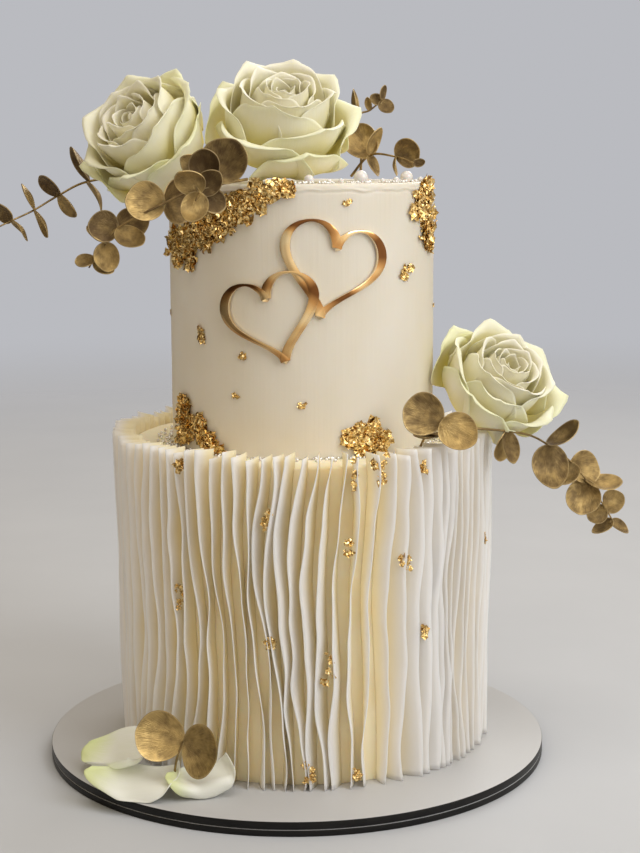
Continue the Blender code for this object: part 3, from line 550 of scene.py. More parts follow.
for degrees, height, radius in WALL_FLAKES:
    for _ in range(WALL_FLAKE_BITS):
        angle = math.radians(degrees) + dice.gauss(0.0, radius * 0.5) / UPPER_RADIUS
        middle = on_wall(angle, height + dice.gauss(0.0, radius * 0.35), UPPER_RADIUS + 0.0005)
        gold_bit(bm, middle, on_wall(angle, 0.0, 1.0), radius * dice.uniform(0.25, 0.5), dice)
leaf_upper = piece("gold_leaf_upper", bm, leaf_gold, smooth=False)
thicken(leaf_upper, GOLD_THICKNESS, offset=-1.0)
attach(leaf_upper, "root")
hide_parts("tier_upper")

bm = bmesh.new()
for degrees, height, half_width, half_height in PAPER_FLAKES:
    for _ in range(PAPER_FLAKE_BITS):
        angle = math.radians(degrees) + dice.uniform(-1.0, 1.0) * half_width / STRIP_MIDDLE
        level = height + dice.uniform(-1.0, 1.0) * half_height
        middle = on_wall(angle, level, dice.uniform(*PAPER_FLAKE_RADIUS))
        gold_bit(bm, middle, on_wall(angle, 0.0, 1.0), dice.uniform(*GOLD_BIT_ON_PAPER), dice)
leaf_lower = piece("gold_leaf_lower", bm, leaf_gold, smooth=False)
thicken(leaf_lower, GOLD_THICKNESS, offset=-1.0)
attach(leaf_lower, "root")
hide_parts("tier_lower")


# Ornament: two linked hearts, cut from 2 mm acrylic sheet with a gold mirror face, and set against the
# icing of the upper tier's wall, which they follow round. Their edges are polished, and a lighter gold
# on them is a painted highlight. The face's colour holds painted reflections.

ORNAMENT_MIDDLE = 0.284
ORNAMENT_THICKNESS = 0.0020
ORNAMENT_GAP = 0.0005
# Each heart: middle across and up from the ornament's middle, width, tilt in degrees.
HEARTS = [((0.0165, 0.0150), 0.056, -14), ((-0.0175, -0.0120), 0.052, 17)]
HEART_STEPS = 220
HEART_AHEAD = 0.0002
STROKE_THIN = 0.0007
STROKE_THICK = 0.0028
CUT_BEVEL = 0.0004

mirror = Finish("gold_mirror", {"Metallic": 1.0})
smear = mirror.cloudy(mirror.place(), 60.0)
# Painted reflection: wide bands of dark bronze and pale gold, as the mirror face shows of a room.
painted_reflection = mirror.cloudy(mirror.stretched(mirror.place(), (1.0, 1.0, 2.2)), 26.0, 1.0)
mirror.paint("Base Color", mirror.ramp(painted_reflection, (0.36, (0.20, 0.085, 0.03)), (0.48, (0.62, 0.34, 0.13)),
                                       (0.56, (0.90, 0.64, 0.32)), (0.66, (0.98, 0.82, 0.54))))
mirror.paint("Roughness", 0.06 + 0.08 * smear)
# Painted highlight: the cut edges are a lighter gold than the face.
cut = Finish("gold_cut_edge", {"Metallic": 1.0, "Roughness": 0.22})
cut.paint("Base Color", cut.ramp(cut.cloudy(cut.place(), 90.0), (0.35, (0.86, 0.66, 0.40)),
                                 (0.65, (1.0, 0.90, 0.70))))


def heart_point(s, middle, width, tilt):
    """A point of a heart's centre line, in metres on the unrolled wall."""
    t = 2.0 * math.pi * s
    x = 16.0 * math.sin(t) ** 3
    y = 13.0 * math.cos(t) - 5.0 * math.cos(2.0 * t) - 2.0 * math.cos(3.0 * t) - math.cos(4.0 * t)
    return Matrix.Rotation(math.radians(tilt), 2) @ (Vector((x, y)) * width / 32.0) + Vector(middle)


bm = bmesh.new()
for number, (middle, width, tilt) in enumerate(HEARTS):
    radius = UPPER_RADIUS + ORNAMENT_GAP + ORNAMENT_THICKNESS / 2.0 + HEART_AHEAD * number
    made = bmesh.ops.create_grid(bm, x_segments=HEART_STEPS, y_segments=1, size=1.0)["verts"]
    for vert in made:
        s = (vert.co.x + 1.0) / 2.0
        ahead = heart_point(s + 0.002, middle, width, tilt) - heart_point(s - 0.002, middle, width, tilt)
        ahead.normalize()
        half_width = STROKE_THIN + (STROKE_THICK - STROKE_THIN) * abs(ahead.y) ** 1.6
        spot = heart_point(s, middle, width, tilt) + Vector((-ahead.y, ahead.x)) * half_width * vert.co.y
        vert.co = on_wall(spot.x / UPPER_RADIUS, ORNAMENT_MIDDLE + spot.y, radius)
    bmesh.ops.remove_doubles(bm, verts=made, dist=0.00001)
bmesh.ops.recalc_face_normals(bm, faces=bm.faces[:])
hearts = piece("ornament_gold_hearts", bm, mirror)
hearts.data.materials.append(cut.material)
thicken(hearts, ORNAMENT_THICKNESS).material_offset_rim = 1
bevel = hearts.modifiers.new("bevel", "BEVEL")
bevel.width = CUT_BEVEL
bevel.segments = 2
bevel.material = 1
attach(hearts, "root")
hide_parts("ornament_hearts")


# Roses: three full-blown white garden roses, with petals that roll back at their tips. They are set
# in the icing on short stems, two on top and one on the ledge, where they press against the tiers.

# Each rose: piece, CAD node, centre, direction of its axis, radius, how far its outer petals droop,
# turn of the petals in degrees.
ROSES = [("rose_left_petals", "rose_top_left", (-0.0885, -0.0170, 0.3695), (-0.55, -0.60, 0.58), 0.0415,
          0.001, 20),
         ("rose_middle_petals", "rose_top_middle", (-0.0115, -0.0270, 0.3765), (0.10, -0.50, 0.85),
          0.0440, 0.007, 75),
         ("rose_right_petals", "rose_right", (0.1140, -0.0200, 0.2240), (0.45, -0.55, 0.70), 0.0395,
          0.001, 140)]
PETALS = 27
GOLDEN_TURN = math.radians(137.5)
PETAL_THICKNESS = 0.0003
PETAL_ACROSS = 22
PETAL_UP = 22
# Shapes of a petal from the heart outwards, for a rose of 40 mm radius: how far out it stands, the side
# view's four Bezier points of radius and height, half angle, length of the rolled lip, its curl.
PETAL_SHAPES = [(0.00, ((0.5, 4), (2.5, 14), (5.0, 24), (2.5, 33)), 100, 1.0, 0.5),
                (0.30, ((1.5, 3), (9.0, 6), (12.5, 22), (9.0, 36)), 80, 2.5, 1.2),
                (0.65, ((3.0, 1), (22.0, -2), (25.0, 18), (22.5, 34)), 66, 5.0, 1.9),
                (1.00, ((4.0, 0), (29.0, -9), (37.0, 4), (37.0, 17)), 54, 8.0, 2.3)]
SHAPE_RADIUS = 40.0
HEART_BELOW_CENTRE = 16.0
LIP_START = 0.84
CLEAR_OF_WALL = 0.0009
CLEAR_OF_TOP = 0.0008
CLEAR_OF_LEDGE = 0.0006
CLEAR_OF_STRIPS = 0.0012
CLEAR_OVER_STRIPS = 0.0015
CLEAR_OF_STEM = 0.0035
CLEAR_OF_ROSE = 0.003
OVER_RIM = 0.02
# The stem of the sprig that hangs at the right, and the ball that its two hanging leaves fill.
RIGHT_SPRIG = [(0.080, -0.050, 0.1925), (0.088, -0.055, 0.2025), (0.100, -0.058, 0.2035),
               (0.118, -0.046, 0.2000), (0.1332, -0.032, 0.1950), (0.1446, -0.024, 0.1881),
               (0.1595, -0.020, 0.1767), (0.1684, -0.020, 0.1660), (0.1802, -0.020, 0.1491),
               (0.1845, -0.020, 0.1416)]
HANGING_LEAVES = Vector(RIGHT_SPRIG[3]) - Vector((0.0, 0.0, 0.010))
HANGING_RADIUS = 0.011
STRIP_TOP = LEDGE + STRIP_RISE[1] + CLEAR_OVER_STRIPS

velvet = Finish("rose_petal", {"Specular IOR Level": 0.35, "Subsurface Weight": 0.2,
                               "Subsurface Scale": 0.002, "Subsurface Radius": (1.0, 1.0, 0.5)})
petal_map = velvet.sheet()
upward = velvet.part(petal_map, 1)
veins = velvet.cloudy(velvet.stretched(petal_map, (26.0, 1.6, 1.0)), 2.0)
mottle = velvet.cloudy(velvet.place(), 70.0)
tip_share = velvet.step(upward + 0.30 * mottle, 0.50, 1.10)
white = velvet.blend(veins, (0.985, 0.95, 0.74, 1.0), (1.0, 0.98, 0.85, 1.0))
green = velvet.blend(mottle, (0.95, 0.83, 0.25, 1.0), (0.97, 0.89, 0.42, 1.0))
outer_tip = velvet.attribute("outer") * velvet.step(upward, 0.70, 1.0)
green_tip = velvet.blend(outer_tip, white, (0.92, 0.94, 0.60, 1.0))
velvet.paint("Base Color", velvet.blend(tip_share, green, green_tip))
velvet.paint("Roughness", 0.42 + 0.2 * veins)
velvet.bump(veins + 0.5 * velvet.cloudy(velvet.place(), 900.0), 0.00008)


def bezier(points, t):
    """A point of a cubic Bezier curve."""
    s = 1.0 - t
    first, second, third, last = points
    return first * s ** 3 + second * (3.0 * s * s * t) + third * (3.0 * s * t * t) + last * t ** 3


def petal_shape(out):
    """The shape of the petal that stands a share out from the rose's heart."""
    for (low, *inner), (high, *outer) in zip(PETAL_SHAPES, PETAL_SHAPES[1:]):
        if out <= high:
            break
    share = (out - low) / (high - low)
    view = [Vector(a).lerp(Vector(b), share) for a, b in zip(inner[0], outer[0])]
    return view, *(a + (b - a) * share for a, b in zip(inner[1:], outer[1:]))


def petal_point(u, v, shape, turn, habit):
    """A point of a petal with the rose's axis on Z: u across from -1 to 1, v up from 0 to 1."""
    view, half_angle, lip, curl = shape
    spread_share, tilt, lift, skew, wilt, crumple = habit
    side = abs(u)
    v *= 1.0 - 0.30 * side ** 1.9 + 0.07 * math.exp(-(u / 0.14) ** 2)
    radius, level = bezier(view, min(v / LIP_START, 1.0))
    rise = (bezier(view, 1.0) - bezier(view, 0.96)).normalized()
    if v > LIP_START:
        curl *= (0.45 + 0.75 * min(side / 0.45, 1.0)) * (1.0 + skew * u)
        roll = (v - LIP_START) / (1.0 - LIP_START) * curl
        bend = lip / curl
        radius += bend * (math.sin(roll) * rise.x + (1.0 - math.cos(roll)) * rise.y)
        level += bend * (math.sin(roll) * rise.y - (1.0 - math.cos(roll)) * rise.x)
    margin = max(0.0, (side - 0.55) / 0.45) ** 2 * v * (1.0 + 1.5 * skew * u)
    radius += margin * lip * 0.8
    level += lift * v - margin * lip * 0.45
    radius *= 1.0 + tilt * v * v + 0.04 * u + crumple * 0.03 * v * math.sin(wilt + 5.0 * u)
    level += crumple * v * v * math.sin(2.0 * wilt + 4.0 * u)
    opening = 0.30 + 0.70 * math.sin(math.pi / 2.0 * min(1.0, v * 1.5))
    spread = math.radians(half_angle) * spread_share * opening
    angle = turn + u * (1.0 - 0.10 * margin) * spread
    return Vector((radius * math.cos(angle), radius * math.sin(angle), level))


def off_ball(point, middle, radius):
    """Push a point out of a ball."""
    away = point - middle
    return middle + away.normalized() * radius if away.length < radius else point


def off_cake(point):
    """Push a point out of the two tiers, as a petal is pressed against them."""
    radius = math.hypot(point.x, point.y)
    sides = Vector((point.x, point.y, 0.0)) / radius
    into_wall = UPPER_RADIUS + CLEAR_OF_WALL - radius
    into_top = UPPER_TOP + CLEAR_OF_TOP - point.z
    if into_wall > 0.0 and into_top > 0.0:
        if point.z > UPPER_TOP - OVER_RIM and into_top < into_wall:
            point = point + Vector((0.0, 0.0, into_top))
        else:
            point = point + sides * into_wall
            radius += into_wall
    lowest = LEDGE + CLEAR_OF_LEDGE if radius < CORE_RADIUS else STRIP_TOP
    if radius < STRIP_REACH[1] + CLEAR_OF_STRIPS and point.z < lowest:
        point = Vector((point.x, point.y, lowest))
    return point


def off_sprig(point):
    """Push a point away from the stem that runs under the right rose and from its hanging leaves."""
    for start, end in zip(RIGHT_SPRIG[1:], RIGHT_SPRIG[2:7]):
        start, end = Vector(start), Vector(end)
        line = end - start
        share = min(max((point - start).dot(line) / line.length_squared, 0.0), 1.0)
        point = off_ball(point, start + line * share, CLEAR_OF_STEM)
    return off_ball(point, HANGING_LEAVES, HANGING_RADIUS)


for name, node, centre, axis, size, droop, turn in ROSES:
    unit = size / SHAPE_RADIUS
    upright = Vector(axis).to_track_quat("Z", "Y").to_matrix().to_4x4()
    sunk = Matrix.Translation((0.0, 0.0, -HEART_BELOW_CENTRE * unit))
    seat = Matrix.Translation(centre) @ upright @ sunk
    dice = random.Random(turn)
    bm = bmesh.new()
    petal_uv = bm.loops.layers.uv.new("petal")
    outer_layer = bm.verts.layers.float.new("outer")
    for index in range(PETALS):
        out = (index / (PETALS - 1.0)) ** 0.8
        shape = petal_shape(out)
        habit = (dice.uniform(0.85, 1.15), dice.uniform(-0.07, 0.09), dice.uniform(-2.0, 1.5),
                 dice.uniform(-0.4, 0.4), dice.uniform(0.0, 6.28), dice.uniform(0.4, 1.6))
        heading = math.radians(turn) + GOLDEN_TURN * index + dice.uniform(-0.25, 0.25)
        made = bmesh.ops.create_grid(bm, x_segments=PETAL_ACROSS, y_segments=PETAL_UP, size=1.0)["verts"]
        shares = {}
        for vert in made:
            u, v = vert.co.x, (vert.co.y + 1.0) / 2.0
            shares[vert] = ((u + 1.0) / 2.0 + index, v)
            vert[outer_layer] = max(0.0, (out - 0.6) / 0.4)
            point = seat @ (petal_point(u, v, shape, heading, habit) * unit)
            point.z -= droop * v * v * max(0.0, (out - 0.7) / 0.3)
            if node == "rose_top_left":
                point = off_ball(point, Vector(ROSES[1][2]), ROSES[1][4] + CLEAR_OF_ROSE)
            if node == "rose_right":
                point = off_sprig(point)
            vert.co = off_cake(point)
        lay_out(made, petal_uv, shares)
    rose = piece(name, bm, velvet)
    thicken(rose, PETAL_THICKNESS)
    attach(rose, "root")
    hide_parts(node)


# Leaf sprigs: eucalyptus with round leaves in pairs, dried and painted old gold. The brush left fine
# streaks from each leaf's base, and some leaves took less paint than others. A lighter gold along each
# rim is a painted highlight.

STEM_RADIUS = 0.0008
STEM_SIDES = 10
STEM_TONE = 0.25
LEAF_THICKNESS = 0.0005
LEAF_HOLLOW = 0.14
LEAF_GRID = 16

old_gold = Finish("gold_leaves", {})
leaf_map = old_gold.sheet()
tone = old_gold.attribute("tone")
from_base = old_gold.part(leaf_map, 0)
to_side = old_gold.part(leaf_map, 1)
ray = old_gold.sum("ARCTAN2", to_side, from_base + 1.15)
fan = old_gold.node("CombineXYZ", {}, {0: ray, 1: from_base})
streaks = old_gold.cloudy(old_gold.stretched(fan, (34.0, 1.6, 1.0)), 1.6)
blotch = old_gold.cloudy(old_gold.place(), 190.0)
worn = old_gold.step(streaks * 0.35 + blotch * 0.55 + tone * 0.4, 0.35, 0.95)
# Painted highlight: a lighter gold along the rim of each leaf.
rim_share = old_gold.step(from_base * from_base + to_side * to_side, 0.86, 0.97)
body = old_gold.blend(worn, (0.11, 0.066, 0.025, 1.0), (0.66, 0.47, 0.19, 1.0))
old_gold.paint("Base Color", old_gold.blend(rim_share * 0.3, body, (0.80, 0.62, 0.32, 1.0)))
old_gold.paint("Metallic", 0.55 + 0.4 * worn)
old_gold.paint("Roughness", 0.48 - 0.16 * worn)
old_gold.bump(streaks + 0.5 * blotch, 0.0004)


def through(points, t):
    """The point at share t of a smooth curve through the given points."""
    spans = len(points) - 1
    place = min(t * spans, spans - 1e-6)
    span = int(place)
    before, after = points[max(span - 1, 0)], points[min(span + 2, spans)]
    start, end = points[span], points[span + 1]
    return bezier((start, start + (end - before) / 6.0, end - (after - start) / 6.0, end), place - span)


def add_stem(bm, points, tone_layer):
    """A round stem through the points, which thins towards its tip."""
    steps = 8 * len(points)
    ring = bmesh.ops.create_circle(bm, cap_ends=False, segments=STEM_SIDES, radius=1.0)["verts"]
    flat = [vert.co.copy() for vert in ring]
    rings = [ring]
    for _ in range(steps):
        edges = {edge for vert in rings[-1] for edge in vert.link_edges
                 if all(end in rings[-1] for end in edge.verts)}
        made = bmesh.ops.extrude_edge_only(bm, edges=list(edges))["geom"]
        follow = [item for item in made if isinstance(item, bmesh.types.BMVert)]
        ordered = [next(edge.other_vert(vert) for edge in vert.link_edges
                        if edge.other_vert(vert) in follow) for vert in rings[-1]]
        rings.append(ordered)
    for number, ring in enumerate(rings):
        t = number / steps
        middle = through(points, t)
        ahead = through(points, min(t + 0.01, 1.0)) - through(points, max(t - 0.01, 0.0))
        turn = ahead.to_track_quat("Z", "Y")
        for vert, spot in zip(ring, flat):
            vert.co = middle + turn @ (spot * STEM_RADIUS * (1.05 - 0.5 * t))
            vert[tone_layer] = STEM_TONE
    for ring in (rings[0], rings[-1]):
        bmesh.ops.contextual_create(bm, geom=ring)


def add_leaf(bm, base, length, width, way, facing, dice, leaf_uv, tone_layer):
    """One round leaf that grows from its base the given way, hollow where it faces, with a wavy edge."""
    midrib = Vector(way).normalized()
    across = Vector(facing).cross(midrib).normalized()
    face = midrib.cross(across)
    wave, wave_turn = dice.uniform(0.02, 0.05), dice.uniform(0.0, 6.28)
    tone_of_leaf = dice.uniform(-0.15, 0.65)
    made = bmesh.ops.create_grid(bm, x_segments=LEAF_GRID, y_segments=LEAF_GRID, size=1.0)["verts"]
    shares = {}
    for vert in made:
        x, y = vert.co.x, vert.co.y
        disc = Vector((x * math.sqrt(1.0 - y * y / 2.0), y * math.sqrt(1.0 - x * x / 2.0)))
        shares[vert] = disc
        out = disc.length
        angle = math.atan2(disc.y, disc.x)
        tip = 0.05 * math.exp(-(angle / 0.3) ** 2)
        ragged = 1.0 + out ** 4 * (0.03 * math.sin(3.0 * angle + wave_turn) + tip)
        hollow = LEAF_HOLLOW * (out * out - 1.0) + wave * out ** 2 * math.sin(2.0 * angle + wave_turn)
        hollow -= 0.02 * math.exp(-(disc.y / 0.05) ** 2) * (1.0 - out)
        along = (1.0 + disc.x * ragged) * length / 2.0 - STEM_RADIUS / 2.0
        sideways = disc.y * ragged * width / 2.0
        vert.co = base + midrib * along + across * sideways + face * hollow * length
        vert[tone_layer] = tone_of_leaf
    lay_out(made, leaf_uv, shares)


# Each sprig: CAD node, stem points, then its leaves: the stem point it grows from, length, width, the
# way it points, the way it faces.
SPRIGS = [
    ("sprig_far_left",
     [(-0.060, 0.036, 0.3445), (-0.098, 0.028, 0.3458), (-0.128, 0.020, 0.3425), (-0.1445, 0.010, 0.3345),
      (-0.158, 0.000, 0.3262), (-0.170, -0.007, 0.3205), (-0.180, -0.015, 0.3155)],
     [(2, 0.0240, 0.017, (-0.50, 0.25, 0.85), (-0.80, -0.30, -0.45)),
      (2, 0.0200, 0.015, (0.40, -0.10, -0.85), (-0.80, -0.20, -0.40)),
      (3, 0.0160, 0.017, (-0.70, -0.10, 0.70), (-0.60, -0.55, -0.60)),
      (3, 0.0165, 0.017, (0.55, 0.10, -0.80), (-0.70, -0.50, -0.60)),
      (4, 0.0180, 0.014, (-0.45, 0.30, 0.85), (-0.85, -0.15, -0.40)),
      (4, 0.0180, 0.015, (0.45, -0.20, -0.85), (-0.85, -0.35, -0.45)),
      (5, 0.0170, 0.015, (-0.75, 0.10, 0.55), (-0.50, -0.60, -0.55)),
      (5, 0.0150, 0.011, (0.60, -0.10, -0.75), (-0.75, -0.20, -0.50)),
      (6, 0.0100, 0.007, (-0.80, 0.20, 0.20), (0.10, -0.50, 0.80)),
      (6, 0.0100, 0.007, (-0.40, -0.30, -0.90), (-0.80, -0.50, 0.20))]),
    ("sprig_low_left",
     [(-0.030, -0.066, 0.3450), (-0.055, -0.0885, 0.3405), (-0.0738, -0.092, 0.3330),
      (-0.099, -0.092, 0.3200), (-0.1055, -0.091, 0.3120), (-0.1122, -0.090, 0.3035),
      (-0.1153, -0.090, 0.2985)],
     [(2, 0.0210, 0.021, (-0.98, -0.20, 0.10), (-0.15, -1.00, 0.10)),
      (2, 0.0220, 0.024, (0.50, 0.75, 0.00), (0.75, -0.60, 0.10)),
      (3, 0.0160, 0.017, (-0.95, -0.25, 0.10), (-0.20, -1.00, 0.10)),
      (3, 0.0175, 0.017, (0.93, 0.30, 0.30), (0.10, -1.00, 0.10)),
      (3, 0.0185, 0.014, (0.72, -0.50, -0.45), (0.30, -0.90, 0.50)),
      (4, 0.0140, 0.012, (-0.75, 0.20, 0.68), (0.60, -0.25, 0.70)),
      (4, 0.0160, 0.014, (0.05, -0.30, -0.95), (0.30, -0.90, 0.30)),
      (5, 0.0110, 0.009, (-0.95, -0.10, -0.15), (0.00, -0.70, 0.70)),
      (5, 0.0125, 0.010, (0.75, -0.10, -0.50), (0.30, -0.80, 0.30))]),
    ("sprig_rim",
     [(-0.040, -0.062, 0.3455), (-0.0475, -0.084, 0.3450), (-0.0515, -0.093, 0.3440),
      (-0.0545, -0.099, 0.3385), (-0.0565, -0.1045, 0.3345)],
     [(1, 0.0245, 0.025, (0.50, -0.15, 0.86), (0.15, -1.00, 0.20)),
      (1, 0.0210, 0.013, (-0.83, -0.10, 0.55), (-0.10, -1.00, 0.10)),
      (2, 0.0185, 0.0165, (-0.05, -0.30, 0.95), (0.00, -1.00, -0.30)),
      (3, 0.0155, 0.013, (0.70, -0.20, 0.70), (0.20, -1.00, 0.10)),
      (3, 0.0175, 0.016, (-0.60, -0.50, 0.62), (-0.30, -1.00, -0.30)),
      (3, 0.0175, 0.0145, (-0.35, -0.45, -0.88), (-0.10, -1.00, 0.20)),
      (3, 0.0160, 0.013, (0.80, 0.10, -0.45), (0.30, -1.00, 0.10))]),
    ("sprig_top_right",
     [(0.030, 0.018, 0.3450), (0.041, 0.008, 0.3575), (0.0555, -0.004, 0.3565), (0.0655, -0.010, 0.3530)],
     [(1, 0.0250, 0.020, (-0.45, 0.55, 0.70), (-0.20, -0.90, 0.35)),
      (1, 0.0170, 0.012, (0.35, -0.10, 0.90), (0.75, -0.60, -0.25)),
      (1, 0.0135, 0.010, (0.35, -0.20, -0.85), (0.70, -0.50, 0.35)),
      (2, 0.0150, 0.0175, (0.85, -0.35, 0.30), (0.35, -0.90, 0.10)),
      (2, 0.0110, 0.010, (0.05, -0.10, -1.00), (0.95, -0.10, 0.00)),
      (3, 0.0070, 0.005, (0.90, -0.20, 0.10), (0.10, -0.90, 0.30))]),
    ("sprig_top_thin",
     [(0.036, 0.030, 0.3450), (0.0365, 0.028, 0.3620), (0.0345, 0.024, 0.3800), (0.0415, 0.024, 0.3840),
      (0.0490, 0.024, 0.3900)],
     [(2, 0.0170, 0.010, (-0.12, 0.00, 1.00), (1.00, -0.20, 0.00)),
      (3, 0.0080, 0.004, (-0.20, 0.10, 0.95), (0.30, -0.90, 0.10)),
      (4, 0.0095, 0.0095, (0.45, -0.30, -0.65), (0.30, -0.90, 0.20)),
      (4, 0.0090, 0.006, (0.20, 0.10, 0.95), (0.80, -0.60, 0.00)),
      (4, 0.0080, 0.007, (-0.90, -0.10, 0.20), (0.10, -0.90, 0.30))]),
    ("sprig_right", RIGHT_SPRIG,
     [(3, 0.0190, 0.013, (-0.20, 0.15, -0.95), (0.60, -0.70, 0.00)),
      (3, 0.0190, 0.010, (0.20, -0.25, -0.95), (0.30, -0.90, 0.10)),
      (5, 0.0225, 0.016, (0.78, 0.10, 0.58), (-0.55, -0.40, 0.80)),
      (5, 0.0260, 0.022, (0.12, -0.35, -0.90), (0.10, -0.95, 0.35)),
      (6, 0.0175, 0.016, (-0.45, -0.60, -0.60), (-0.30, -0.75, 0.60)),
      (6, 0.0210, 0.020, (0.85, 0.30, -0.35), (0.30, -0.90, 0.30)),
      (7, 0.0215, 0.016, (0.97, -0.05, -0.05), (0.00, -0.40, 0.90)),
      (7, 0.0215, 0.0205, (-0.20, -0.40, -0.90), (-0.10, -0.95, 0.25)),
      (8, 0.0140, 0.0145, (0.75, 0.30, 0.45), (0.20, -0.95, 0.10)),
      (8, 0.0130, 0.012, (-0.70, -0.30, -0.45), (-0.20, -0.90, 0.30)),
      (9, 0.0140, 0.009, (-0.85, -0.10, -0.50), (-0.40, -0.60, 0.70)),
      (9, 0.0125, 0.009, (0.80, -0.10, -0.55), (0.40, -0.60, 0.70))]),
    ("leaf_pair_ledge",
     [(0.066, -0.060, 0.1925), (0.0705, -0.070, 0.2045), (0.0765, -0.0865, 0.2130)],
     [(2, 0.0225, 0.024, (-0.90, 0.10, 0.30), (-0.05, -1.00, 0.15)),
      (2, 0.0220, 0.021, (0.80, -0.30, -0.50), (0.30, -0.95, 0.10)),
      (1, 0.0150, 0.013, (-0.35, -0.90, -0.08), (0.00, -0.20, 0.95)),
      (1, 0.0140, 0.011, (0.40, -0.90, 0.00), (0.20, -0.20, 0.90))]),
    ("leaf_pair_board",
     [(-0.074, -0.1075, 0.0105), (-0.0715, -0.1120, 0.0280), (-0.0677, -0.1130, 0.0390)],
     [(2, 0.0270, 0.028, (-0.95, 0.05, 0.20), (0.05, -1.00, 0.15)),
      (2, 0.0245, 0.031, (0.75, -0.60, -0.22), (-0.60, -0.78, 0.10))])]

for node, stem, leaves in SPRIGS:
    points = [Vector(point) for point in stem]
    dice = random.Random(len(node) + len(leaves))
    bm = bmesh.new()
    leaf_uv = bm.loops.layers.uv.new("leaf")
    tone_layer = bm.verts.layers.float.new("tone")
    for index, length, width, way, facing in leaves:
        add_leaf(bm, points[index], length, width, way, facing, dice, leaf_uv, tone_layer)
    bmesh.ops.solidify(bm, geom=bm.faces[:], thickness=LEAF_THICKNESS)
    add_stem(bm, points, tone_layer)
    bmesh.ops.recalc_face_normals(bm, faces=bm.faces[:])
    sprig = piece(node + "_leaves", bm, old_gold)
    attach(sprig, "root")
    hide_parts(node)


# Loose petals: three outer rose petals that lie on the board at the left front. They are thin and
# greenish white, and their edges have rolled over as they dried.

# Each petal: node, place of its middle, length, width, radius of its rolled front edge (below 0 where
# it rolls down), share of the half width at which the roll starts, then in degrees its turn, how far
# its far side is raised and how far its broad end is raised.
LOOSE_PETALS = [("petal_left", (-0.1060, -0.0830, 0.0200), 0.054, 0.040, 0.0060, 0.35, -30, 34, 14),
                ("petal_front", (-0.0960, -0.1110, 0.0150), 0.056, 0.034, -0.0100, 0.30, -12, 5, 0),
                ("petal_right", (-0.0575, -0.1170, 0.0175), 0.040, 0.036, -0.0046, 0.10, 14, 3, 3)]
LOOSE_ALONG = 44
LOOSE_ACROSS = 36
LOOSE_THICKNESS = 0.0004
CLEAR_OF_BOARD = 0.0006

pale = Finish("loose_petal", {"Subsurface Weight": 0.25, "Subsurface Scale": 0.002,
                              "Subsurface Radius": (0.9, 1.0, 0.7)})
pale_map = pale.sheet()
pale_veins = pale.cloudy(pale.stretched(pale_map, (1.4, 24.0, 1.0)), 2.0)
pale_base = 1.0 - pale.step(pale.part(pale_map, 0) + 0.12 * pale_veins, 0.08, 0.45)
pale_body = pale.blend(pale_veins, (0.91, 0.94, 0.80, 1.0), (0.97, 0.99, 0.90, 1.0))
pale.paint("Base Color", pale.blend(pale_base, pale_body, (0.76, 0.84, 0.42, 1.0)))
pale.paint("Roughness", 0.34 + 0.2 * pale_veins)
pale.bump(pale_veins, 0.0001)

for node, middle, length, width, roll, crease, turn, far_up, end_up in LOOSE_PETALS:
    bm = bmesh.new()
    petal_uv = bm.loops.layers.uv.new("petal")
    made = bmesh.ops.create_grid(bm, x_segments=LOOSE_ALONG, y_segments=LOOSE_ACROSS, size=1.0)["verts"]
    lay = Matrix.Translation(middle) @ Matrix.Rotation(math.radians(turn), 4, "Z")
    lay = lay @ Matrix.Rotation(math.radians(far_up), 4, "X")
    lay = lay @ Matrix.Rotation(-math.radians(end_up), 4, "Y")
    shares = {}
    for vert in made:
        x, y = vert.co.x, vert.co.y
        shares[vert] = ((x + 1.0) / 2.0, (y + 1.0) / 2.0)
        broad = 0.28 + 0.72 * math.sin(math.pi / 2.0 * min((x + 1.0) / 1.25, 1.0)) ** 0.8
        broad *= 1.0 - 0.35 * max(0.0, (x - 0.45) / 0.55) ** 2
        across = y * broad * width / 2.0
        lift = 0.004 * x * x + 0.0009 * math.sin(5.0 * x + 2.5 * y) + 0.0022 * max(y, 0.0) ** 2
        fold = -crease * broad * width / 2.0
        if across < fold:
            bend = (fold - across) / abs(roll)
            lift += roll * (1.0 - math.cos(bend))
            across = fold - abs(roll) * math.sin(bend)
        end_roll = max(0.0, (x - 0.75) / 0.25) ** 2
        lift += 0.0025 * end_roll
        along = x * length / 2.0 * (1.0 - 0.10 * y * y) - 0.0015 * end_roll
        vert.co = lay @ Vector((along, across, lift))
        vert.co.z = max(vert.co.z, BOARD_TOP + CLEAR_OF_BOARD)
    lay_out(made, petal_uv, shares)
    loose = piece(node + "_sheet", bm, pale)
    thicken(loose, LOOSE_THICKNESS)
    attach(loose, "root")
    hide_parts(node)


# Studio: a pale floor, a pale backdrop colour, large soft lights from the right front, from above and
# from behind, a dim room all round that metal mirrors, and the camera where the photo was taken from.

CAMERA_PLACE = (-0.0045, -1.0118, 0.3615)
CAMERA_PITCH = 0.1621
CAMERA_YAW = 0.0147
CAMERA_ROLL = -0.0045
CAMERA_LENS = 71.75
CAMERA_CLIP = 0.05
FLOOR_HALF = 4.0
FLOOR_FADE = (0.3, 2.4)
KEY_DIRECTION = (0.71, -0.43, 0.57)
AMBIENT = (0.44, 0.37, 0.275, 1.0)
BACKDROP = (0.49, 0.497, 0.527, 1.0)

matt = Finish("studio_floor", {"Roughness": 0.8})
matt.paint("Base Color", matt.ramp(matt.cloudy(matt.place(), 6.0), (0.3, (0.55, 0.57, 0.61)),
                                   (0.7, (0.58, 0.60, 0.64))))
from_middle = matt.node("VectorMath", {"operation": "LENGTH"}, {0: matt.place()}, "Value")
matt.paint("Alpha", 1.0 - matt.step(from_middle, *FLOOR_FADE))
bm = bmesh.new()
bmesh.ops.create_grid(bm, x_segments=1, y_segments=1, size=FLOOR_HALF)
floor = piece("studio_floor", bm, matt)


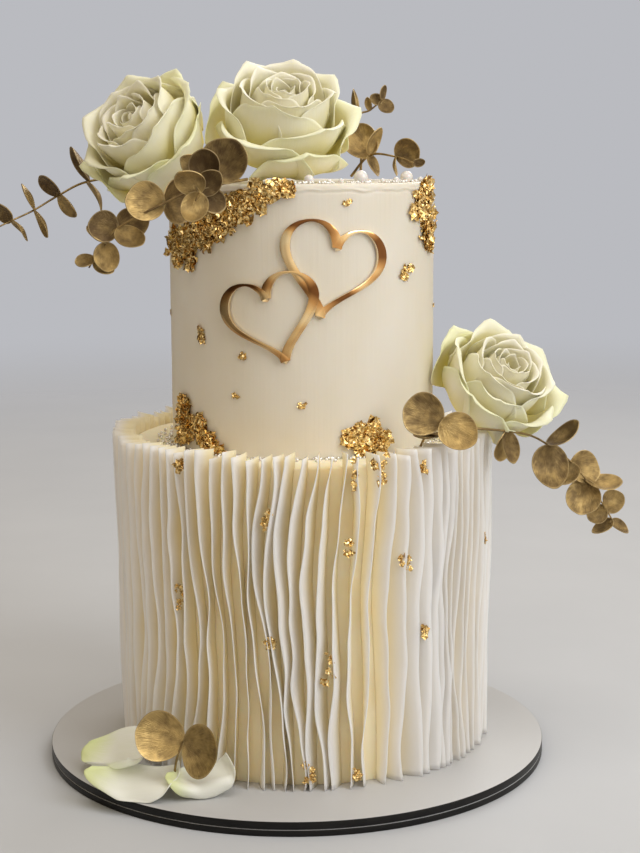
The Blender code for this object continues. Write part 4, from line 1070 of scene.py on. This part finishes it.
class Room(Finish):
    """The light that comes from all round: one Background shader instead of a surface."""

    def __init__(self, name):
        self.material = bpy.data.worlds.new(name)
        self.material.use_nodes = True
        self.tree = self.material.node_tree
        self.shader = self.tree.nodes["Background"]


# A world's Generated output is the direction that a ray goes in.
room = Room("studio")
sight = room.node("TexCoord", {}, {}, "Generated")
key_side = room.node("VectorMath", {"operation": "DOT_PRODUCT"}, {0: sight, 1: KEY_DIRECTION}, "Value")
uneven = 0.5 * key_side + 0.45 * room.cloudy(sight, 1.7, 1.0) + 0.27
mirrored = room.ramp(uneven, (0.0, (0.06, 0.05, 0.035)), (0.42, (0.20, 0.165, 0.12)),
                     (0.62, (0.72, 0.63, 0.50)), (1.0, (1.15, 1.05, 0.92)))
around_cake = room.blend(room.node("LightPath", {}, {}, "Is Glossy Ray"), AMBIENT, mirrored)
seen = room.node("LightPath", {}, {}, "Is Camera Ray")
room.paint("Color", room.blend(seen, around_cake, BACKDROP))
bpy.context.scene.world = room.material
bpy.context.scene.view_settings.view_transform = "Standard"

# Each light: place, what it points at, width, power in watts, colour.
LIGHTS = [((1.1, -0.9, 1.0), (0.0, 0.0, 0.2), 1.0, 11.6, (0.90, 0.95, 1.0)),
          ((0.1, -0.4, 1.7), (0.0, 0.0, 0.3), 1.2, 9.0, (1.0, 0.97, 0.92)),
          ((0.5, 1.2, 1.2), (0.0, 0.0, 0.3), 0.8, 7.0, (0.95, 0.97, 1.0))]
for number, (place, target, width, power, colour) in enumerate(LIGHTS):
    lamp = bpy.data.lights.new(f"softbox_{number}", "AREA")
    lamp.size = width
    lamp.energy = power
    lamp.color = colour
    softbox = bpy.data.objects.new(lamp.name, lamp)
    softbox.location = place
    softbox.rotation_euler = (Vector(target) - Vector(place)).to_track_quat("-Z", "Y").to_euler()
    bpy.context.scene.collection.objects.link(softbox)

ahead = Vector((math.sin(CAMERA_YAW) * math.cos(CAMERA_PITCH),
                math.cos(CAMERA_YAW) * math.cos(CAMERA_PITCH), -math.sin(CAMERA_PITCH)))
right = Vector((math.cos(CAMERA_YAW), -math.sin(CAMERA_YAW), 0.0))
above = right.cross(ahead)
turned_right = right * math.cos(CAMERA_ROLL) + above * math.sin(CAMERA_ROLL)
turned_up = above * math.cos(CAMERA_ROLL) - right * math.sin(CAMERA_ROLL)
lens = bpy.data.cameras.new("camera")
lens.lens = CAMERA_LENS
lens.clip_start = CAMERA_CLIP
camera = bpy.data.objects.new("camera", lens)
camera.matrix_world = Matrix((turned_right, turned_up, -ahead)).transposed().to_4x4()
camera.location = CAMERA_PLACE
bpy.context.scene.collection.objects.link(camera)
bpy.context.scene.camera = camera
